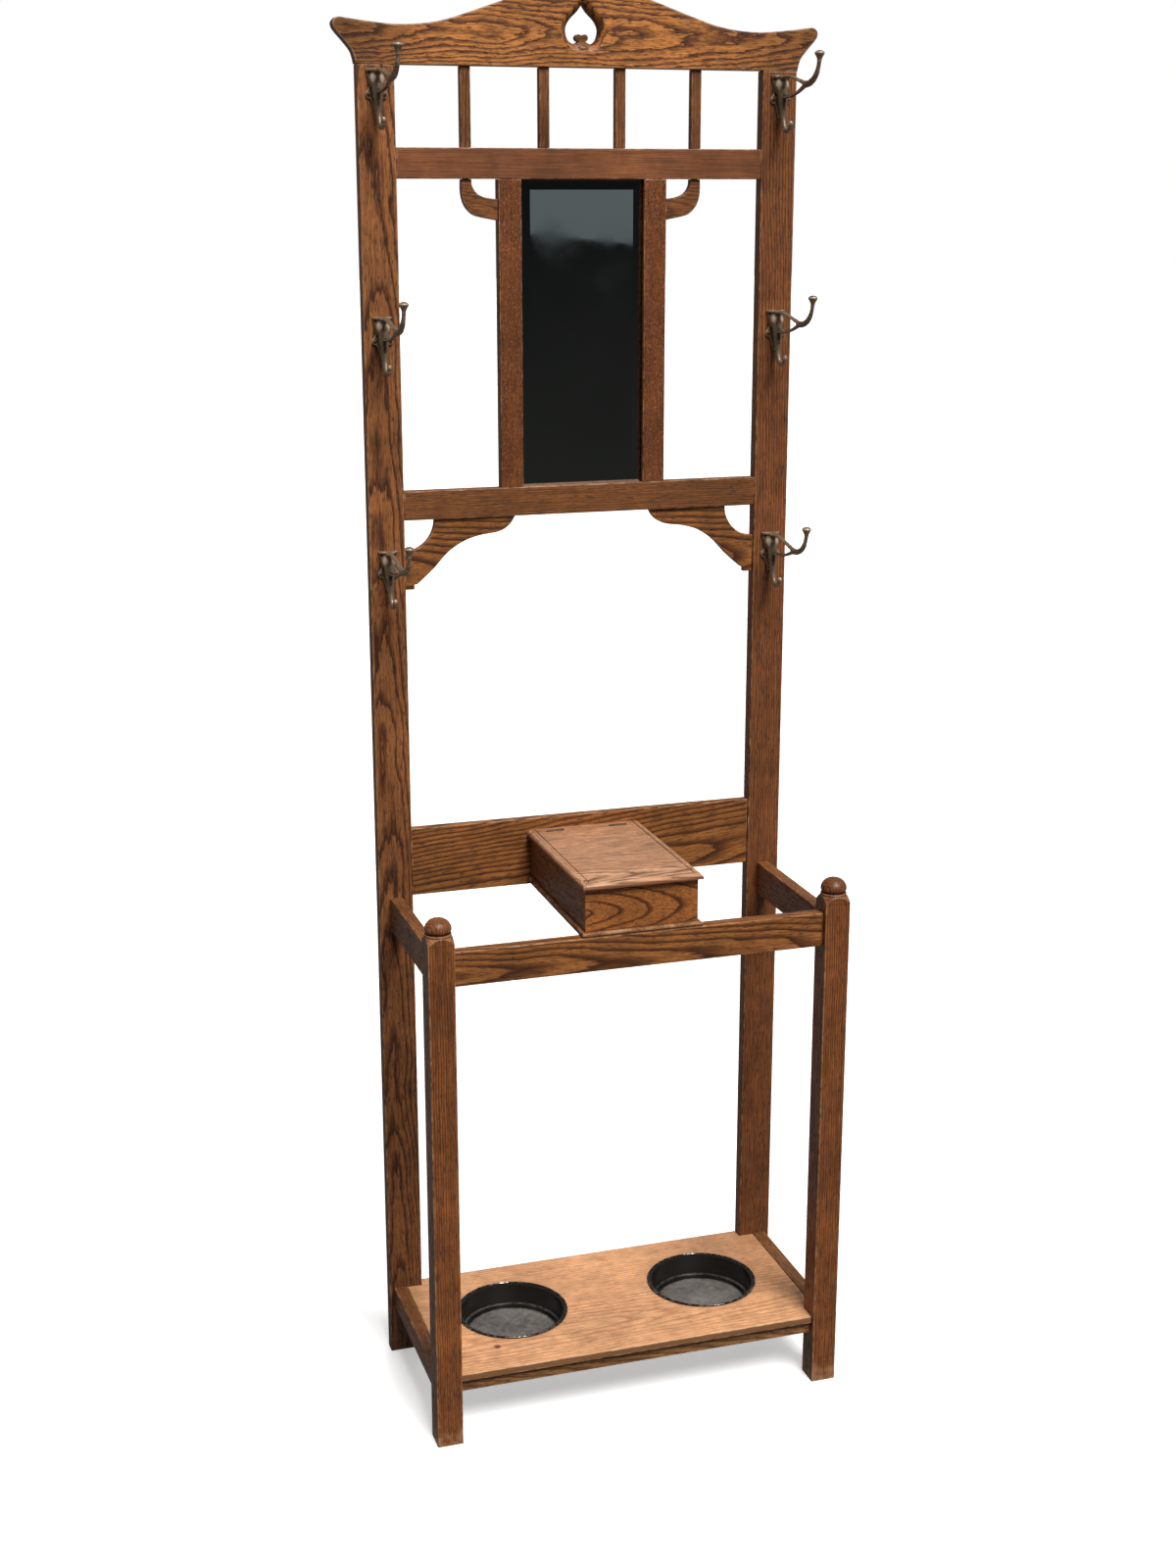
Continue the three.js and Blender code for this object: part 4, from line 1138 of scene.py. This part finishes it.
@dataclass
class CoatHooks:
    """Six cast hooks: a shield plate with a nose, a short lower hook, two struts and a long arm."""

    plate_thick: float = 3.0
    reach: float = 133.0
    voxel: float = 0.75

    def build(self) -> None:
        """Casts one pattern and sets a copy of it, with two screws, at each of the six places."""
        pattern = self.pattern()
        for level in ("low", "middle", "top"):
            for side in SIDES:
                node = f"hook_{level}_{side}"
                lo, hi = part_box(node)
                place = Vector(((lo.x + hi.x) / 2, hi.y, hi.z - 44.2 * MM))
                bm = pattern.copy()
                bmesh.ops.translate(bm, vec=place, verts=bm.verts[:])
                place_piece(bm, f"{node}_casting", BRONZE, "hook_bronze", node, sharp=180.0)
                for mark in ("a", "b"):
                    self.screw(f"screw_{level}_{side}_{mark}")
        pattern.free()

    def pattern(self) -> BMesh:
        """Returns the hook's casting in millimetre shapes blended to one skin, scaled to metres."""
        bm = bmesh.new()
        self.plate(bm)
        r = self.reach
        nose, ball = ((0, -2.0, 4.0), (11.4, 14.2, 13.6)), ((0, -41.3, -46.4), (3.5, 3.5, 3.7))
        gusset = ((0, 42 - r, 3.0), (4.0, 6.5, 4.6))
        for place, size in (nose, ball, gusset):
            shape = Matrix.Translation(place) @ Matrix.Diagonal((*size, 1.0))
            bmesh.ops.create_uvsphere(bm, u_segments=32, v_segments=20, radius=1.0, matrix=shape)
        self.bar(
            bm,
            ((-8, 6), (-11.5, -10), (-12.5, -28), (-15.8, -44), (-22.4, -54.2), (-30.6, -56.2),
             (-37.8, -52), (-41.3, -45.5)),
            (6.4, 6.0, 4.8, 3.9, 3.4, 3.1, 2.9, 2.8),
            (1.4, 1.25, 1.15, 1.1, 1.05, 1.0, 1.0, 1.0),
        )
        self.bar(bm, ((-4, 15.2), (-34, 15.0), (-62, 9.8), (-(r - 42), 3.4)), (2.4, 2.2, 2.2, 2.9),
                 (2.3, 1.8, 1.5, 1.3))
        self.bar(bm, ((-3, -11.5), (-30, -11.0), (-56, -8.0), (-(r - 42), 2.4)), (2.3, 2.0, 2.1, 2.9),
                 (1.5, 1.4, 1.3, 1.3))
        self.bar(
            bm,
            ((-(r - 46), 2), (-(r - 28), 4.4), (-(r - 11), 12.8), (-(r - 2.6), 24), (-r, 38)),
            (4.3, 4.1, 3.4, 2.9, 3.0),
            (1.2, 1.15, 1.1, 1.0, 1.0),
        )
        cap = turned(
            [(0, 29), (2.8, 29), (3.3, 33), (4.9, 36.4), (6.5, 39.0), (6.9, 40.3), (6.6, 41.6),
             (4.4, 43.0), (2.2, 43.9), (0, 44.2)], 32,
        )
        bmesh.ops.translate(cap, vec=(0, -r, 0), verts=cap.verts[:])
        self.join(bm, cap)
        made = to_mesh_object(bm, "hook_pattern")
        remesh = made.modifiers.new("skin", "REMESH")
        remesh.mode, remesh.voxel_size = "VOXEL", self.voxel
        blend = made.modifiers.new("fettle", "SMOOTH")
        blend.factor, blend.iterations = 0.5, 4
        skin = through_modifiers(made)
        for v in skin.verts:
            v.co.y = min(v.co.y, 0.0)
        layer = skin.verts.layers.float["wear"]
        skin.normal_update()
        for v in skin.verts:
            # Arrises are rubbed bright, the two cheeks of the nose get a painted highlight, and its
            # keel is kept dark.
            ring = [e.other_vert(v).co for e in v.link_edges]
            bend = sum((v.co - p).dot(v.normal) for p in ring) / max(1, len(ring))
            # Painted highlight: a bright spot on each cheek of the nose that fades out over 12 mm.
            rubbed = 1.0 - math.dist((abs(v.co.x), v.co.y, v.co.z), (6, -12.5, 6)) / 12
            v[layer] = min(1.0, max(0.0, 0.32 + 6.0 * bend, rubbed))
            if abs(v.co.x) < 2.2 and -29 < v.co.z < -7 and v.co.y < -9:
                v[layer] = 0.0
        bmesh.ops.scale(skin, vec=(MM, MM, MM), verts=skin.verts[:])
        return skin

    def plate(self, bm: BMesh) -> None:
        """Adds the shield-shaped plate and the curved cap over it.

        Args:
            bm: The mesh that gets them, in millimetres.
        """
        half = (
            (12.6, 16.5), (11.8, 10), (10.4, 2), (10, -4), (11.6, -8.5), (14.2, -11.5),
            (14.4, -15.5), (12, -18.6), (8.6, -19.4), (6.4, -23), (4.4, -31), (3, -38),
        )
        outline = [*half, *((-x, z) for x, z in reversed(half))]
        face = bm.faces.new([bm.verts.new((x, 0.0, z)) for x, z in outline])
        thicken(bm, [face], (0, -self.plate_thick, 0))
        disc = bmesh.ops.create_circle(
            bm, cap_ends=True, segments=48, radius=1.0,
            matrix=Matrix.Translation((0, 0, 15)) @ Matrix.Diagonal((13.8, 11.8, 1.0, 1.0)),
        )["verts"]
        thicken(bm, list({f for v in disc for f in v.link_faces}), (0, 0, 3.0))
        bmesh.ops.recalc_face_normals(bm, faces=bm.faces[:])

    def bar(
        self, bm: BMesh, points: Sequence[Pair], thick: Sequence[float], widen: Sequence[float]
    ) -> None:
        """Adds a tapering bar that runs in the hook's own upright plane.

        Args:
            bm: The mesh that gets it, in millimetres.
            points: Forward and upward place of each point.
            thick: Half the bar's thickness at each point.
            widen: How much wider than thick the bar is at each point.
        """
        curve = bpy.data.curves.new("bar", "CURVE")
        curve.dimensions, curve.bevel_depth, curve.bevel_resolution = "3D", 1.0, 6
        curve.use_fill_caps, curve.resolution_u = True, 16
        spline = curve.splines.new("BEZIER")
        spline.bezier_points.add(len(points) - 1)
        for knot, (y, z), half in zip(spline.bezier_points, points, thick):
            knot.co, knot.radius = (0.0, y, z), half
            knot.handle_left_type = knot.handle_right_type = "AUTO"
        made = add_object("bar", curve)
        bpy.context.view_layer.update()
        mesh = bpy.data.meshes.new_from_object(
            made.evaluated_get(bpy.context.evaluated_depsgraph_get())
        )
        bpy.data.objects.remove(made)
        piece = bmesh.new()
        piece.from_mesh(mesh)
        for v in piece.verts:
            near = min(range(len(points)), key=lambda i: math.dist(points[i], (v.co.y, v.co.z)))
            v.co.x *= widen[near]
        self.join(bm, piece)

    def join(self, bm: BMesh, other: BMesh) -> None:
        """Moves all of another bmesh to this one."""
        mesh = bpy.data.meshes.new("part")
        other.to_mesh(mesh)
        other.free()
        bm.from_mesh(mesh)
        bpy.data.meshes.remove(mesh)

    def screw(self, node: str) -> None:
        """Makes one slotted, domed screw head.

        Args:
            node: The CAD node of the screw.
        """
        lo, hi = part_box(node)
        radius = (hi.x - lo.x) / 2
        high = 2.4 * MM
        profile = [(0.0, -high), (radius * 0.98, -high), (radius, -0.9 * high)]
        profile += [
            (radius * math.cos(math.radians(a)), -0.8 * high + 0.8 * high * math.sin(math.radians(a)))
            for a in range(10, 90, 16)
        ] + [(0.0, 0.0)]
        bm = turned(profile, 32)
        for place in (-0.5 * MM, -0.38 * MM, 0.38 * MM, 0.5 * MM):
            saw(bm, (place, 0, 0), (1, 0, 0))
        slot = [v for v in bm.verts if abs(v.co.x) < 0.4 * MM and v.co.z > -high + HAIR]
        bmesh.ops.translate(bm, vec=(0, 0, -0.8 * MM), verts=slot)
        for v in slot:
            v.co.z = max(v.co.z, -high + 0.2 * MM)
        turn = Matrix.Rotation(math.radians(90), 4, "X") @ Matrix.Rotation(lo.z * 50, 4, "Z")
        bmesh.ops.transform(bm, matrix=turn, verts=bm.verts[:])
        place = Vector(((lo.x + hi.x) / 2, lo.y, (lo.z + hi.z) / 2))
        bmesh.ops.translate(bm, vec=place, verts=bm.verts[:])
        layer = bm.verts.layers.float["wear"]
        for v in bm.verts:
            v[layer] = 0.45
        place_piece(bm, f"{node}_head", SCREW_BRASS, "screw_brass", node)


@dataclass
class Studio:
    """A plain pale floor, a soft key light high in front, a fill behind and the camera."""

    eye: Point = (-0.9176, -2.7546, 1.7154)
    pitch: float = -15.502
    yaw: float = 17.764
    lens: float = 49.155
    key: float = 4.0
    fill: float = 1.3
    sky: float = 0.19

    def build(self) -> None:
        """Makes the floor, the lights, the two cards that the mirror reflects and the camera."""
        self.floor()
        self.card("dark_card", (0, -6.0, 0.6), (9.0, 4.2), 0.0, "2a2a28", "151617")
        self.card("pale_card", (2.0, -5.9, 2.06), (0.85, 0.55), 5.5, "5c6163", "6c7275")
        self.light("key_light", (0.14, -0.7, 0.95), self.key, 26.0, True)
        self.light("fill_light", (0.12, 0.9, 0.4), self.fill, 45.0, False)
        self.surround()
        self.camera()

    def floor(self) -> None:
        """Makes the floor."""
        bm = bmesh.new()
        bmesh.ops.create_grid(bm, x_segments=1, y_segments=1, size=40.0)
        made = to_mesh_object(bm, "studio_floor")
        pale = Recipe(bpy.data.materials.new("pale_studio_floor")).finish(
            None, 0.0, 0.0, Base_Color=to_linear("f4f3f1"), Roughness=0.9,
            Emission_Color=(1.0, 1.0, 1.0, 1.0), Emission_Strength=0.42,
        )
        made.data.materials.append(pale)
        made.visible_diffuse = made.visible_glossy = False

    def card(
        self, name: str, place: Point, size: Pair, tilt: float, low: str, high: str
    ) -> None:
        """Makes a card in front of the stand, which only reflections see.

        Args:
            name: The card's name.
            place: Its middle.
            size: Half its width and half its height.
            tilt: How far it is turned in its own plane, in degrees.
            low: Its colour at the bottom.
            high: Its colour at the top.
        """
        bm = bmesh.new()
        shape = Matrix.Translation(place) @ Matrix.Rotation(math.radians(tilt), 4, "Y")
        shape = shape @ Matrix.Rotation(math.pi / 2, 4, "X") @ Matrix.Diagonal((*size, 1.0, 1.0))
        bmesh.ops.create_grid(bm, x_segments=1, y_segments=1, size=1.0, matrix=shape)
        made = to_mesh_object(bm, name)
        mix = Recipe(bpy.data.materials.new(f"{name}_cloth"))
        spot = mix.add("TexCoord", out="Object")
        height = mix.add("SeparateXYZ", {"Vector": spot}, out="Z")
        drift = mix.add("TexNoise", {"Vector": spot, "Scale": 1.6, "Detail": 3.0})
        level = mix.add("Math", {0: drift, 1: 0.8, 2: height}, operation="MULTIPLY_ADD")
        level = mix.add("MapRange", {"Value": level, "From Min": 0.9, "From Max": 2.2})
        colour = mix.add("Mix", {0: level, 6: to_linear(low), 7: to_linear(high)}, **IN_COLOUR)
        glow = mix.add("Emission", {"Color": colour, "Strength": 1.0})
        mix.feed(mix.tree.nodes["Material Output"], {"Surface": glow})
        made.data.materials.append(mix.owner)
        made.visible_camera = made.visible_diffuse = made.visible_shadow = False

    def light(self, name: str, source: Point, power: float, wide: float, shine: bool) -> None:
        """Adds a soft, distant light.

        Args:
            name: The light's name.
            source: The direction that it comes from.
            power: Its strength.
            wide: The angle that it spans, in degrees, which softens its shadows.
            shine: Whether it makes highlights.
        """
        lamp = bpy.data.lights.new(name, "SUN")
        lamp.energy, lamp.angle = power, math.radians(wide)
        made = add_object(name, lamp)
        made.rotation_euler = Vector(source).to_track_quat("Z", "Y").to_euler()
        made.visible_glossy = shine

    def surround(self) -> None:
        """Sets the pale surround, which is white behind the stand and a dim fill on it."""
        world = bpy.data.worlds.new("studio_surround")
        mix = Recipe(world)
        seen = mix.add("LightPath", out="Is Camera Ray")
        level = mix.add("MapRange", {"Value": seen, "To Min": self.sky, "To Max": 1.0})
        mix.feed(mix.tree.nodes["Background"], {"Color": (1.0, 1.0, 1.0, 1.0), "Strength": level})
        bpy.context.scene.world = world

    def camera(self) -> None:
        """Sets the camera."""
        lens = bpy.data.cameras.new("camera")
        lens.lens, lens.sensor_width = self.lens, 36.0
        lens.clip_start, lens.clip_end = 0.05, 120.0
        made = add_object("camera", lens)
        made.location = self.eye
        made.rotation_euler = (math.radians(90 + self.pitch), 0.0, -math.radians(self.yaw))
        bpy.context.scene.camera = made


def main() -> None:
    """Builds every sub-assembly in order."""
    logging.basicConfig(level=logging.INFO, format="%(message)s")
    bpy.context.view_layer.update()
    parts = (BackFrame(), Mirror(), UmbrellaStand(), DripPans(), GloveBox(), CoatHooks(), Studio())
    for part in parts:
        part.build()
        log.info("%s done", type(part).__name__)
    bpy.context.scene.view_settings.view_transform = "Standard"


if __name__ == "__main__":
    main()
